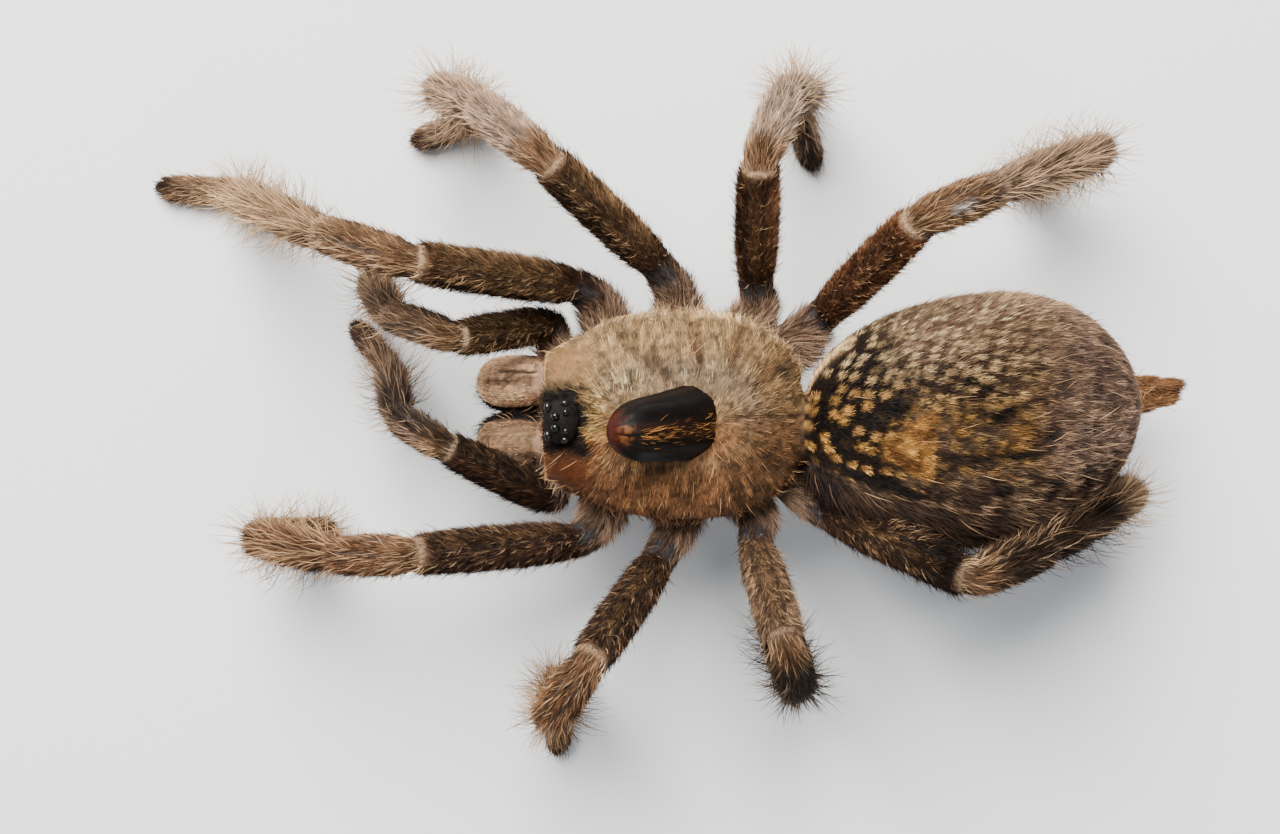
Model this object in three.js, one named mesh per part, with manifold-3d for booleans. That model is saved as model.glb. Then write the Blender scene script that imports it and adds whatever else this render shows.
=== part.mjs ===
// A horned baboon tarantula, life size, standing still on the floor.
// Millimetres. +Z is up, the head points along -X, and the animal's right side is +Y.
// Every soft piece is given at the size of its coat, and every foot ends in a small flat at z = 0.
import * as THREE from "three";
import { mergeVertices } from "three/addons/utils/BufferGeometryUtils.js";
import Module from "manifold-3d";

const wasm = await Module();
wasm.setup();

// ---------------------------------------------------------------- sizes

const GAP = 0.3; // between pieces that meet
const EYE_GAP = 0.08; // between an eye and its socket
const FINEST = 0.07; // smaller steps than this in a surface are dropped
const CLEAR_OF_MITRE = 0.15; // between a tube's ring and the mitre next to it
const FREE_END = 0.55; // size of a tube's free end against its last ring
const LIMB_SIDES = 10;
const BODY_SIDES = 18;
const SMALL_SIDES = 12; // of the horn, the jaws and the sternum
const FANG_SIDES = 8;

// Where each limb's femur begins, on the right side: along the body, out from the midline, above the floor.
const HIPS = {
  palp: [-6.4, 6.6, 10.6],
  leg1: [-4.4, 9.3, 12.6],
  leg2: [1.4, 10.8, 12.0],
  leg3: [8.5, 9.6, 11.4],
  leg4: [13.6, 7.3, 10.8],
};

// The coxa of each limb, from the edge of the sternum to where the trochanter begins.
const COXAE = {
  palp: [[-5.0, 2.5, 9.9], [-6.3, 4.2, 10.1]],
  leg1: [[-1.9, 4.1, 10.3], [-2.9, 8.0, 10.9]],
  leg2: [[2.4, 4.3, 10.1], [2.9, 8.4, 10.5]],
  leg3: [[5.7, 4.4, 9.9], [8.9, 7.3, 10.1]],
  leg4: [[8.9, 3.7, 9.7], [11.9, 5.6, 9.8]],
};

// Length of each segment.
const LENGTHS = {
  palp: { femur: 9.9, patella: 6.4, tibia: 7.2, tarsus: 6.8 },
  leg1: { femur: 14.4, patella: 8.6, tibia: 10.0, metatarsus: 8.6, tarsus: 6.4 },
  leg2: { femur: 13.4, patella: 7.6, tibia: 8.6, metatarsus: 8.2, tarsus: 6.0 },
  leg3: { femur: 11.6, patella: 6.8, tibia: 7.0, metatarsus: 8.2, tarsus: 6.0 },
  leg4: { femur: 14.4, patella: 8.0, tibia: 10.8, metatarsus: 12.0, tarsus: 6.6 },
};

// The stance. Each segment has a heading, counted from +X towards +Y, and a pitch above the horizontal,
// both in degrees. The metatarsus has a heading only: its pitch is whatever brings the foot to the floor.
const STANCE = {
  leg1_right: { femur: [172, 38], patella: [163, -33], tibia: [158, -50], metatarsus: 155, tarsus: 176 },
  leg2_right: { femur: [138, 38], patella: [140, -31], tibia: [152, -62], metatarsus: 340, tarsus: 200 },
  leg3_right: { femur: [92, 46], patella: [68, -34], tibia: [20, -72], metatarsus: 120, tarsus: 288 },
  leg4_right: { femur: [50, 55], patella: [22, -35], tibia: [20, -31], metatarsus: 200, tarsus: 24 },
  leg1_left: { femur: [180, 38], patella: [187, -44], tibia: [177, -44], metatarsus: 355, tarsus: 178 },
  leg2_left: { femur: [229, 56], patella: [240, -43], tibia: [260, -86], metatarsus: 90, tarsus: 268 },
  leg3_left: { femur: [285, 59], patella: [288, -52], tibia: [290, -85], metatarsus: 110, tarsus: 285 },
  leg4_left: { femur: [338, 46], patella: [14, -38], tibia: [24, -36], metatarsus: 190, tarsus: 20 },
  palp_right: { femur: [189, 49], patella: [163, -34], tibia: [132, -62], tarsus: 125 },
  palp_left: { femur: [150, 29], patella: [155, -46], tibia: [112, -60], tarsus: 133 },
};

// How thick each segment is along its length: [share of the length, half-width, half-depth].
const GIRTHS = {
  coxa: [[0.3, 1.62, 1.62], [0.75, 1.7, 1.7]],
  trochanter: [[0.5, 1.5, 1.5]],
  femur: [[0.14, 1.5, 1.6], [0.5, 1.68, 1.8], [0.9, 1.6, 1.74]],
  patella: [[0.24, 1.56, 1.68], [0.72, 1.58, 1.58]],
  tibia: [[0.3, 1.48, 1.5], [0.82, 1.38, 1.38]],
  metatarsus: [[0.24, 1.3, 1.28], [0.8, 1.3, 1.2]],
  tarsus: [[0.3, 1.36, 1.16], [0.68, 1.34, 1.1], [0.9, 1.08, 0.94], [0.99, 0.6, 0.55]],
};
const LEG_PIECES = {
  femur: ["coxa", "trochanter", "femur"],
  tibia: ["patella", "tibia"],
  foot: ["metatarsus", "tarsus"],
};
const PALP_PIECES = { femur: ["coxa", "trochanter", "femur"], tibia: ["patella", "tibia", "tarsus"] };
const PALP_SHARE = 0.87; // a palp is slimmer than a leg
const FOOT_HEEL = 1.15; // height of the joint between metatarsus and tarsus
const FOOT_TIP = 0.85; // height of the tarsus's axis at its tip
const PALP_TIP = -0.25; // height of a palp's axis at its tip, which rests on the floor
const ROUNDING = 1.0; // a joint's bend starts this far before it and ends this far after it,
const ROUNDING_SHARE = 0.4; // or at this share of the shorter segment

// Shell of the front body: [along the body, half-width, top].
const CARAPACE = [
  [-7.1, 4.5, 17.3],
  [-6.4, 5.0, 18.5],
  [-4.6, 5.9, 19.1],
  [-2.2, 7.1, 19.2],
  [1.0, 7.8, 19.0],
  [4.2, 7.9, 18.7],
  [7.2, 7.4, 17.8],
  [9.6, 6.2, 16.5],
  [11.2, 4.5, 15.3],
  [11.9, 2.8, 14.7],
];
const CARAPACE_RIM = 14.4; // height of the shell's rim at x = 0
const CARAPACE_PITCH = 0.05; // how much the rim drops for each millimetre back
const CARAPACE_LIP = 0.75; // thickness of the rim below its edge
const CARAPACE_DOME = 0.9; // power of the dome's rise from the rim: below 1 is fuller
const CARAPACE_EDGE = 0.4; // power of the rim's rounding
const CARAPACE_STATIONS = 12;

const HORN = {
  foot: [3.9, -0.2, 16.9], // inside the shell
  tip: [-2.1, -0.7, 22.8],
  bow: [0.45, -0.2, 1.15], // how far its middle lies behind and above the straight line
  halfWidth: 2.75,
  halfLength: 2.45,
  taper: 0.3, // share of its size lost from foot to tip
  blunt: 0.68, // where its rounded end begins
  round: 0.335, // length of the rounding
  stations: 10,
};

const EYE_MOUND = { at: [-5.5, -0.2, 18.75], half: [1.45, 1.75, 1.05] };
// Eyes of the right side, from the mound's centre: [forward, out, up], and their half-sizes.
const EYES = {
  front_middle: { at: [0.4, 0.4, 0.93], half: [0.3, 0.3, 0.28] },
  front_outer: { at: [0.95, 0.98, 0.52], half: [0.28, 0.38, 0.26] },
  rear_middle: { at: [-0.32, 0.66, 0.93], half: [0.2, 0.24, 0.16] },
  rear_outer: { at: [-0.25, 1.28, 0.62], half: [0.28, 0.24, 0.2] },
};

const ABDOMEN = {
  middle: [25.5, -0.3, 12.9],
  front: 14.0, // from the widest place to the front end
  rear: 11.1, // from the widest place to the rear end
  halfWidth: 9.45,
  halfHeight: 7.3,
  roll: 13, // degrees that its top leans to the left
  slant: 0.055, // how far it shifts to the right for each millimetre back
  blunt: 0.38, // power of the front's rounding: a half would be a circle's
  ends: [0.035, 0.985], // shares of its length between which it is drawn
  stations: 14,
};

// The plate under the front body: [along the body, half-width, bottom, top].
const STERNUM = {
  rows: [
    [-4.4, 1.2, 9.4, 11.6],
    [-2.6, 2.9, 8.6, 12.6],
    [1.5, 3.75, 8.1, 13.0],
    [6.0, 3.6, 8.0, 12.9],
    [9.4, 2.6, 8.4, 12.6],
    [11.4, 1.2, 9.4, 12.0],
  ],
  fullness: 0.8, // power of its section's rounding: below 1 is boxier
  stations: 7,
};

// The spinnerets: a low mound, two long ones in two parts, and a short one under each.
const SPINNERETS = {
  mound: { at: [34.6, 1.0, 8.4], half: [1.9, 2.3, 1.5] },
  cones: [
    { from: [34.3, 0.1, 8.7], to: [40.4, 0.95, 8.6], thick: 1.0 },
    { from: [34.3, 1.9, 8.7], to: [40.8, 2.05, 8.8], thick: 1.0 },
    { from: [34.0, 0.6, 7.5], to: [36.9, 0.8, 7.3], thick: 0.5 },
    { from: [34.0, 1.6, 7.5], to: [36.9, 1.7, 7.3], thick: 0.5 },
  ],
  sides: 7,
  knee: 0.55, // share of a cone's length at which its second part begins
  // Thickness along each part: [share of the part, share of the thickness].
  parts: [[[0.1, 1], [0.34, 0.95], [0.38, 0.84]], [[0.5, 0.82], [0.9, 0.7]]],
};

const CHELICERA = {
  middle: 2.28, // out from the midline
  stations: 8,
  // [along the body, half-width, bottom, top], from the blunt front to the face
  rows: [
    [-12.1, 0.7, 8.0, 9.9],
    [-11.9, 1.25, 7.2, 10.9],
    [-11.3, 1.8, 6.5, 12.4],
    [-10.2, 2.12, 6.3, 13.7],
    [-8.8, 2.12, 6.6, 14.2],
    [-7.4, 1.95, 7.0, 14.0],
  ],
};
const FANG = {
  spine: [[-11.0, 2.2, 6.4], [-10.2, 2.1, 3.4], [-6.2, 1.7, 5.0]],
  root: 0.72,
  tip: 0.3,
  stations: 6,
};
// The short waist between the front body and the abdomen: two ends and a half-width.
const WAIST = { from: [9.6, 0, 12.6], to: [14.2, -0.1, 12.8], half: 1.5 };

// ---------------------------------------------------------------- helpers

const vec = (p) => new THREE.Vector3(...p);
const rad = THREE.MathUtils.degToRad;
const degrees = THREE.MathUtils.radToDeg;

// The direction of a heading and a pitch.
function direction([heading, pitch]) {
  const level = Math.cos(rad(pitch));
  return new THREE.Vector3(
    level * Math.cos(rad(heading)),
    level * Math.sin(rad(heading)),
    Math.sin(rad(pitch)),
  );
}

// A closed geometry through rings of equally many points, with a flat fan over each end.
function skinOver(rings) {
  const count = rings[0].length;
  const points = rings.flat();
  const faces = [];
  for (let r = 0; r + 1 < rings.length; r++) {
    for (let i = 0; i < count; i++) {
      const a = r * count + i;
      const b = r * count + ((i + 1) % count);
      faces.push(a, b, b + count, a, b + count, a + count);
    }
  }
  for (const [ring, flip] of [[0, true], [rings.length - 1, false]]) {
    const middle = new THREE.Vector3();
    rings[ring].forEach((p) => middle.addScaledVector(p, 1 / count));
    const centre = points.push(middle) - 1;
    for (let i = 0; i < count; i++) {
      const a = ring * count + i;
      const b = ring * count + ((i + 1) % count);
      faces.push(...(flip ? [b, a, centre] : [a, b, centre]));
    }
  }
  const geometry = new THREE.BufferGeometry().setFromPoints(points);
  geometry.setIndex(faces);
  return geometry;
}

// Six times the signed volume of an indexed geometry: negative where its faces point inwards.
function signedVolume(geometry) {
  const p = geometry.attributes.position;
  const [a, b, c] = [new THREE.Vector3(), new THREE.Vector3(), new THREE.Vector3()];
  let sum = 0;
  for (let i = 0; i < geometry.index.count; i += 3) {
    a.fromBufferAttribute(p, geometry.index.getX(i));
    b.fromBufferAttribute(p, geometry.index.getX(i + 1));
    c.fromBufferAttribute(p, geometry.index.getX(i + 2));
    sum += a.dot(b.cross(c));
  }
  return sum;
}

// A closed geometry as a manifold-3d solid with its faces outwards.
function solidOf(geometry) {
  const bare = geometry.clone();
  bare.deleteAttribute("normal");
  bare.deleteAttribute("uv");
  const merged = mergeVertices(bare, 1e-4);
  const triVerts = new Uint32Array(merged.index.array);
  if (signedVolume(merged) < 0) triVerts.reverse();
  return new wasm.Manifold(
    new wasm.Mesh({ numProp: 3, vertProperties: merged.attributes.position.array, triVerts }),
  );
}

// A manifold-3d solid as a three.js geometry with flat shading.
function geometryOf(solid) {
  const mesh = solid.getMesh();
  const points = new Float32Array(mesh.numVert * 3);
  for (let i = 0; i < mesh.numVert; i++) {
    points.set(mesh.vertProperties.subarray(i * mesh.numProp, i * mesh.numProp + 3), i * 3);
  }
  const geometry = new THREE.BufferGeometry();
  geometry.setAttribute("position", new THREE.BufferAttribute(points, 3));
  geometry.setIndex(new THREE.BufferAttribute(new Uint32Array(mesh.triVerts), 1));
  geometry.computeVertexNormals();
  return geometry;
}

// Everything under the floor, to cut the feet's flats with.
const UNDER_FLOOR = solidOf(new THREE.BoxGeometry(120, 120, 20).translate(0, 0, -10));

// An ellipsoid with its half-sizes along X, Y and Z.
function ellipsoid(centre, half, sides = 8, rows = 5) {
  const ball = new THREE.SphereGeometry(1, sides, rows).rotateX(Math.PI / 2);
  return solidOf(ball.scale(...half).translate(...centre));
}

// A smooth curve through a few [along, value, value...] rows, read at any place along.
function smoothRows(rows) {
  const places = rows.map((row) => row[0]);
  return (at) => {
    let k = 0;
    while (k < rows.length - 2 && places[k + 1] < at) k++;
    const share = THREE.MathUtils.clamp((at - places[k]) / (places[k + 1] - places[k]), 0, 1);
    const near = [rows[Math.max(0, k - 1)], rows[k], rows[k + 1], rows[Math.min(rows.length - 1, k + 2)]];
    return rows[0].slice(1).map((_, column) => {
      const slope = (i) =>
        ((near[i + 1][column + 1] - near[i - 1][column + 1]) / (near[i + 1][0] - near[i - 1][0])) *
        (places[k + 1] - places[k]);
      const square = share * share;
      const cube = square * share;
      return (
        (2 * cube - 3 * square + 1) * near[1][column + 1] +
        (cube - 2 * square + share) * slope(1) +
        (3 * square - 2 * cube) * near[2][column + 1] +
        (cube - square) * slope(2)
      );
    });
  };
}

// ---------------------------------------------------------------- limbs

// A jointed tube: segments run from joint to joint, and each ring at a joint lies in the plane that halves
// the bend there, as the mitre of a bent pipe does. An end that is parted from a neighbour stops half a gap
// short of it, and a free end is drawn in. grow makes the tube thicker all round.
function jointedTube({ joints, segments, parted = [false, false], thickness = 1, grow = 0, sides }) {
  const runs = segments.map((_, i) => joints[i + 1].clone().sub(joints[i]).normalize());
  const lengths = segments.map((_, i) => joints[i].distanceTo(joints[i + 1]));
  let side = new THREE.Vector3(-runs[0].y, runs[0].x, 0).normalize();
  const rings = [];
  const ring = (centre, run, normal, [wide, deep]) => {
    const up = side.clone().cross(run);
    const points = [];
    for (let i = 0; i < sides; i++) {
      const turn = (2 * Math.PI * i) / sides;
      const out = side.clone().multiplyScalar(Math.cos(turn) * (wide * thickness + grow));
      out.addScaledVector(up, Math.sin(turn) * (deep * thickness + grow));
      out.addScaledVector(run, -out.dot(normal) / run.dot(normal));
      points.push(out.add(centre));
    }
    rings.push(points);
  };
  const ends = parted.map((isParted) => (isParted ? GAP / 2 : 0) - grow);
  segments.forEach((girth, i) => {
    const run = runs[i];
    const startNormal = i > 0 ? runs[i - 1].clone().add(run).normalize() : run;
    const endNormal = i + 1 < runs.length ? run.clone().add(runs[i + 1]).normalize() : run;
    const first = girth[0].slice(1);
    const last = girth.at(-1).slice(1);
    if (i === 0) {
      ring(joints[0].clone().addScaledVector(run, ends[0]), run, run, first);
    } else {
      const met = segments[i - 1].at(-1);
      ring(joints[i], run, startNormal, first.map((size, k) => (size + met[k + 1]) / 2));
    }
    const mitre = (normal) => Math.tan(run.angleTo(normal)) * (first[0] * thickness + grow) + CLEAR_OF_MITRE;
    for (const [share, ...size] of girth) {
      const along = share * lengths[i];
      const isClear = along > mitre(startNormal) && lengths[i] - along > mitre(endNormal);
      if (girth.length > 1 && isClear) ring(joints[i].clone().addScaledVector(run, along), run, run, size);
    }
    if (i + 1 === runs.length) {
      const size = parted[1] ? last : last.map((half) => half * FREE_END);
      ring(joints[i + 1].clone().addScaledVector(run, -ends[1]), run, run, size);
    } else {
      side = side.clone().applyQuaternion(new THREE.Quaternion().setFromUnitVectors(run, runs[i + 1]));
    }
  });
  return solidOf(skinOver(rings));
}

// The joints of a limb, from the sternum to the tip of its tarsus.
function limbJoints(kind, side) {
  const stance = STANCE[`${kind}_${side}`];
  const lengths = LENGTHS[kind];
  const mirror = side === "right" ? 1 : -1;
  const place = ([x, y, z]) => new THREE.Vector3(x, mirror * y, z);
  const joints = { coxa: place(COXAE[kind][0]), trochanter: place(COXAE[kind][1]), femur: place(HIPS[kind]) };
  const step = (from, name, towards) =>
    joints[from].clone().addScaledVector(direction(towards), lengths[name]);
  joints.patella = step("femur", "femur", stance.femur);
  joints.tibia = step("patella", "patella", stance.patella);
  if (kind === "palp") {
    joints.tarsus = step("tibia", "tibia", stance.tibia);
    const drop = Math.max(-1, (PALP_TIP - joints.tarsus.z) / lengths.tarsus);
    joints.tip = step("tarsus", "tarsus", [stance.tarsus, degrees(Math.asin(drop))]);
    return joints;
  }
  joints.metatarsus = step("tibia", "tibia", stance.tibia);
  const drop = (FOOT_HEEL - joints.metatarsus.z) / lengths.metatarsus;
  joints.tarsus = step("metatarsus", "metatarsus", [stance.metatarsus, degrees(Math.asin(drop))]);
  const sink = (FOOT_TIP - FOOT_HEEL) / lengths.tarsus;
  joints.tip = step("tarsus", "tarsus", [stance.tarsus, degrees(Math.asin(sink))]);
  return joints;
}

// The pieces of one limb: its upper part, its middle part and, on a leg, its foot. Every joint's bend is
// rounded in two steps, and where two pieces meet they are parted square across the middle of the rounding.
function limbPieces(kind, side) {
  const at = limbJoints(kind, side);
  const order = Object.keys(at);
  const last = order.length - 1;
  const runs = order.slice(1).map((name, i) => at[name].clone().sub(at[order[i]]).normalize());
  const reach = (i) => at[order[i]].distanceTo(at[order[i + 1]]);
  const rounding = (i) => Math.min(ROUNDING, ROUNDING_SHARE * Math.min(reach(i - 1), reach(i)));
  const startOfBend = (i) => at[order[i]].clone().addScaledVector(runs[i - 1], -rounding(i));
  const endOfBend = (i) => at[order[i]].clone().addScaledVector(runs[i], rounding(i));
  const middleOfBend = (i) => startOfBend(i).lerp(endOfBend(i), 0.5).lerp(at[order[i]], 0.5);
  const plain = ([, wide, deep]) => [[0.5, wide, deep]];
  return Object.entries(kind === "palp" ? PALP_PIECES : LEG_PIECES).map(([part, names]) => {
    const joints = [];
    const segments = [];
    names.forEach((name, n) => {
      const i = order.indexOf(name);
      const girth = GIRTHS[name];
      if (n === 0 && i > 0) {
        joints.push(middleOfBend(i));
        segments.push(plain(girth[0]));
      }
      joints.push(i > 0 ? endOfBend(i) : at[name]);
      segments.push(girth);
      joints.push(i + 1 < last ? startOfBend(i + 1) : at.tip);
      if (i + 1 < last) segments.push(plain(girth.at(-1)));
    });
    const next = order.indexOf(names.at(-1)) + 1;
    if (next < last) joints.push(middleOfBend(next));
    const shape = { joints, segments, thickness: kind === "palp" ? PALP_SHARE : 1, sides: LIMB_SIDES };
    shape.parted = [order.indexOf(names[0]) > 0, next < last];
    const ofSize = (grow) => jointedTube({ ...shape, grow }).subtract(UNDER_FLOOR);
    return { name: `${kind}_${side}_${part}`, solid: ofSize(0), cutter: ofSize(GAP), material: "legs" };
  });
}

// ---------------------------------------------------------------- body

// Front body's shell: a dome over a rim, narrow at the face and rounded at the back.
function carapace(grow = 0) {
  const rows = smoothRows(CARAPACE);
  const start = CARAPACE[0][0] - grow;
  const end = CARAPACE[CARAPACE.length - 1][0] + grow;
  const rings = [];
  for (let s = 0; s <= CARAPACE_STATIONS; s++) {
    const share = (1 - Math.cos((Math.PI * s) / CARAPACE_STATIONS)) / 2;
    const x = start + (end - start) * share;
    const [half, top] = rows(x);
    const rim = CARAPACE_RIM - CARAPACE_PITCH * x;
    const ring = [];
    for (let i = 0; i < BODY_SIDES; i++) {
      const turn = (2 * Math.PI * i) / BODY_SIDES;
      const rise = Math.sin(turn);
      const above = (top + grow - rim) * Math.max(0, rise) ** CARAPACE_DOME;
      const below = (CARAPACE_LIP + grow) * Math.max(0, -rise) ** CARAPACE_EDGE;
      ring.push(new THREE.Vector3(x, (half + grow) * Math.cos(turn), rim + above - below));
    }
    rings.push(ring);
  }
  return solidOf(skinOver(rings));
}

// The forward-leaning horn on the shell: a thick blunt cone with an oval foot.
function horn(grow = 0) {
  const foot = vec(HORN.foot);
  const tip = vec(HORN.tip);
  const bow = foot.clone().lerp(tip, 0.5).add(vec(HORN.bow));
  const spine = new THREE.QuadraticBezierCurve3(foot, bow, tip);
  const rings = [];
  for (let s = 0; s <= HORN.stations; s++) {
    const share = s / HORN.stations;
    const run = spine.getTangent(share);
    const up = new THREE.Vector3(0, 1, 0).cross(run).normalize();
    const rounding = Math.max(0, (share - HORN.blunt) / HORN.round);
    const size = (1 - HORN.taper * share) * Math.sqrt(1 - rounding ** 2);
    const ring = [];
    for (let i = 0; i < SMALL_SIDES; i++) {
      const turn = (2 * Math.PI * i) / SMALL_SIDES;
      const out = new THREE.Vector3(0, Math.cos(turn) * (HORN.halfWidth * size + grow), 0);
      out.addScaledVector(up, Math.sin(turn) * (HORN.halfLength * size + grow));
      ring.push(out.add(spine.getPoint(share)).addScaledVector(run, share === 1 ? grow : 0));
    }
    rings.push(ring);
  }
  return solidOf(skinOver(rings));
}

// The plate under the front body, with the core that the coxae stand round.
function sternum() {
  const rows = smoothRows(STERNUM.rows);
  const start = STERNUM.rows[0][0];
  const end = STERNUM.rows.at(-1)[0];
  const rings = [];
  for (let s = 0; s <= STERNUM.stations; s++) {
    const x = start + ((end - start) * s) / STERNUM.stations;
    const [half, low, high] = rows(x);
    const ring = [];
    for (let i = 0; i < SMALL_SIDES; i++) {
      const turn = (2 * Math.PI * i) / SMALL_SIDES;
      const rise = Math.sin(turn);
      const fullRise = Math.sign(rise) * Math.abs(rise) ** STERNUM.fullness;
      const z = (low + high) / 2 + ((high - low) / 2) * fullRise;
      ring.push(new THREE.Vector3(x, half * Math.cos(turn), z));
    }
    rings.push(ring);
  }
  return solidOf(skinOver(rings));
}

// One jaw: a stout lobe that juts forward from the face, deep and blunt at its front.
function chelicera(mirror) {
  const rows = smoothRows(CHELICERA.rows);
  const [start, end] = [CHELICERA.rows[0][0], CHELICERA.rows.at(-1)[0]];
  const rings = [];
  for (let s = 0; s <= CHELICERA.stations; s++) {
    const x = end + (start - end) * Math.cos((Math.PI / 2) * (s / CHELICERA.stations));
    const [half, low, high] = rows(x);
    const ring = [];
    for (let i = 0; i < SMALL_SIDES; i++) {
      const turn = (2 * Math.PI * i) / SMALL_SIDES;
      const y = mirror * (CHELICERA.middle + half * Math.cos(turn));
      ring.push(new THREE.Vector3(x, y, (low + high) / 2 + ((high - low) / 2) * Math.sin(turn)));
    }
    rings.push(ring);
  }
  return solidOf(skinOver(rings));
}

// One fang, folded back under its jaw: a curved tapering hook.
function fang(mirror, grow = 0) {
  const spine = new THREE.QuadraticBezierCurve3(
    ...FANG.spine.map(([x, y, z]) => new THREE.Vector3(x, mirror * y, z)),
  );
  const rings = [];
  for (let s = 0; s <= FANG.stations; s++) {
    const share = s / FANG.stations;
    const run = spine.getTangent(share);
    const up = new THREE.Vector3(0, 1, 0).cross(run).normalize();
    const half = FANG.root + (FANG.tip - FANG.root) * share + grow;
    const ring = [];
    for (let i = 0; i < FANG_SIDES; i++) {
      const turn = (2 * Math.PI * i) / FANG_SIDES;
      const out = new THREE.Vector3(0, Math.cos(turn) * half, 0).addScaledVector(up, Math.sin(turn) * half);
      ring.push(out.add(spine.getPoint(share)));
    }
    rings.push(ring);
  }
  return solidOf(skinOver(rings));
}

// The egg-shaped rear body: blunt in front, widest behind its middle, leaning a little to the left.
function abdomen() {
  const { middle, front, rear, halfWidth, halfHeight, roll, slant, blunt, ends, stations } = ABDOMEN;
  const rings = [];
  for (let s = 0; s <= stations; s++) {
    const share = THREE.MathUtils.lerp(...ends, s / stations);
    const along = -Math.cos(Math.PI * share);
    const swell = (1 - along ** 2) ** (along < 0 ? blunt : 0.5);
    const reach = along * (along < 0 ? front : rear);
    const ring = [];
    for (let i = 0; i < BODY_SIDES; i++) {
      const turn = (2 * Math.PI * i) / BODY_SIDES;
      const [wide, high] = [halfWidth * swell * Math.cos(turn), halfHeight * swell * Math.sin(turn)];
      const out = new THREE.Vector3(0, wide, high);
      out.applyAxisAngle(new THREE.Vector3(1, 0, 0), rad(roll));
      ring.push(out.add(vec(middle)).add(new THREE.Vector3(reach, slant * reach, 0)));
    }
    rings.push(ring);
  }
  return solidOf(skinOver(rings));
}

// The spinnerets, joined into one piece.
function spinnerets(grow = 0) {
  const { mound, cones, knee, parts, sides } = SPINNERETS;
  const bodies = cones.map(({ from, to, thick }) => {
    const [start, end] = [vec(from), vec(to)];
    const segments = parts.map((part) => part.map(([share, size]) => [share, thick * size, thick * size]));
    return jointedTube({ joints: [start, start.clone().lerp(end, knee), end], segments, grow, sides });
  });
  const base = ellipsoid(mound.at, mound.half.map((h) => h + grow));
  return bodies.reduce((whole, body) => whole.add(body), base);
}

// ---------------------------------------------------------------- pieces

const COLOURS = {
  legs: 0x6d4a2c,
  shell: 0x9a7a4e,
  horn: 0x1d120c,
  black: 0x0c0a09,
  jaws: 0xa6825e,
  abdomen: 0x6b5642,
  spinnerets: 0xa0632c,
};
const ROUGHNESS = { horn: 0.35, black: 0.12 };

const pieces = [];
const place = (name, solid, material, cutter = null) => pieces.push({ name, solid, material, cutter });

for (const side of ["right", "left"]) {
  const mirror = side === "right" ? 1 : -1;
  for (const [name, { at, half }] of Object.entries(EYES)) {
    const centre = [EYE_MOUND.at[0] - at[0], EYE_MOUND.at[1] + mirror * at[1], EYE_MOUND.at[2] + at[2]];
    const socket = half.map((h) => h + EYE_GAP);
    place(`eye_${name}_${side}`, ellipsoid(centre, half), "black", ellipsoid(centre, socket));
  }
}
const mound = (grow) => ellipsoid(EYE_MOUND.at, EYE_MOUND.half.map((h) => h + grow), 10, 7);
place("eye_mound", mound(0), "black", mound(GAP));
place("horn", horn(), "horn", horn(GAP));
for (const kind of ["palp", "leg1", "leg2", "leg3", "leg4"]) {
  for (const side of ["right", "left"]) pieces.push(...limbPieces(kind, side));
}
const waist = (grow) =>
  jointedTube({
    joints: [WAIST.from, WAIST.to].map(vec),
    segments: [[[0.1, WAIST.half, WAIST.half], [0.9, WAIST.half, WAIST.half]]],
    grow,
    sides: LIMB_SIDES,
  });
place("waist", waist(0), "shell", waist(GAP));
place("fang_right", fang(1), "black", fang(1, GAP));
place("fang_left", fang(-1), "black", fang(-1, GAP));
place("spinnerets", spinnerets(), "spinnerets", spinnerets(GAP));
place("carapace", carapace(), "shell", carapace(GAP));
place("sternum", sternum(), "shell");
place("chelicera_right", chelicera(1), "jaws");
place("chelicera_left", chelicera(-1), "jaws");
place("abdomen", abdomen(), "abdomen");

const materials = Object.fromEntries(
  Object.entries(COLOURS).map(([name, color]) => [
    name,
    new THREE.MeshStandardMaterial({ color, roughness: ROUGHNESS[name] ?? 0.8, metalness: 0 }),
  ]),
);
const tarantula = new THREE.Group();
pieces.forEach((piece, i) => {
  let { solid } = piece;
  for (const earlier of pieces.slice(0, i)) {
    if (earlier.cutter) solid = solid.subtract(earlier.cutter);
  }
  const [body] = solid.decompose().sort((a, b) => b.volume() - a.volume());
  const mesh = new THREE.Mesh(geometryOf(body.simplify(FINEST)), materials[piece.material]);
  mesh.name = piece.name;
  tarantula.add(mesh);
});

const box = new THREE.Box3().setFromObject(tarantula);
const middle = box.getCenter(new THREE.Vector3());
tarantula.position.set(-middle.x, -middle.y, -box.min.z);
tarantula.updateMatrixWorld(true);

export default tarantula;
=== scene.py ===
# %% [markdown]
# # A horned baboon tarantula, life size
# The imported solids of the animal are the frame: they give every place and size. This script gives them
# their looks: one skin in place of the soft solids, a horn, eyes, fangs and claws with their own finish,
# and a coat of separate hairs. Shapes are worked out in millimetres, round the middle of the front body,
# and turned into metres in the frame when they become meshes.

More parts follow.
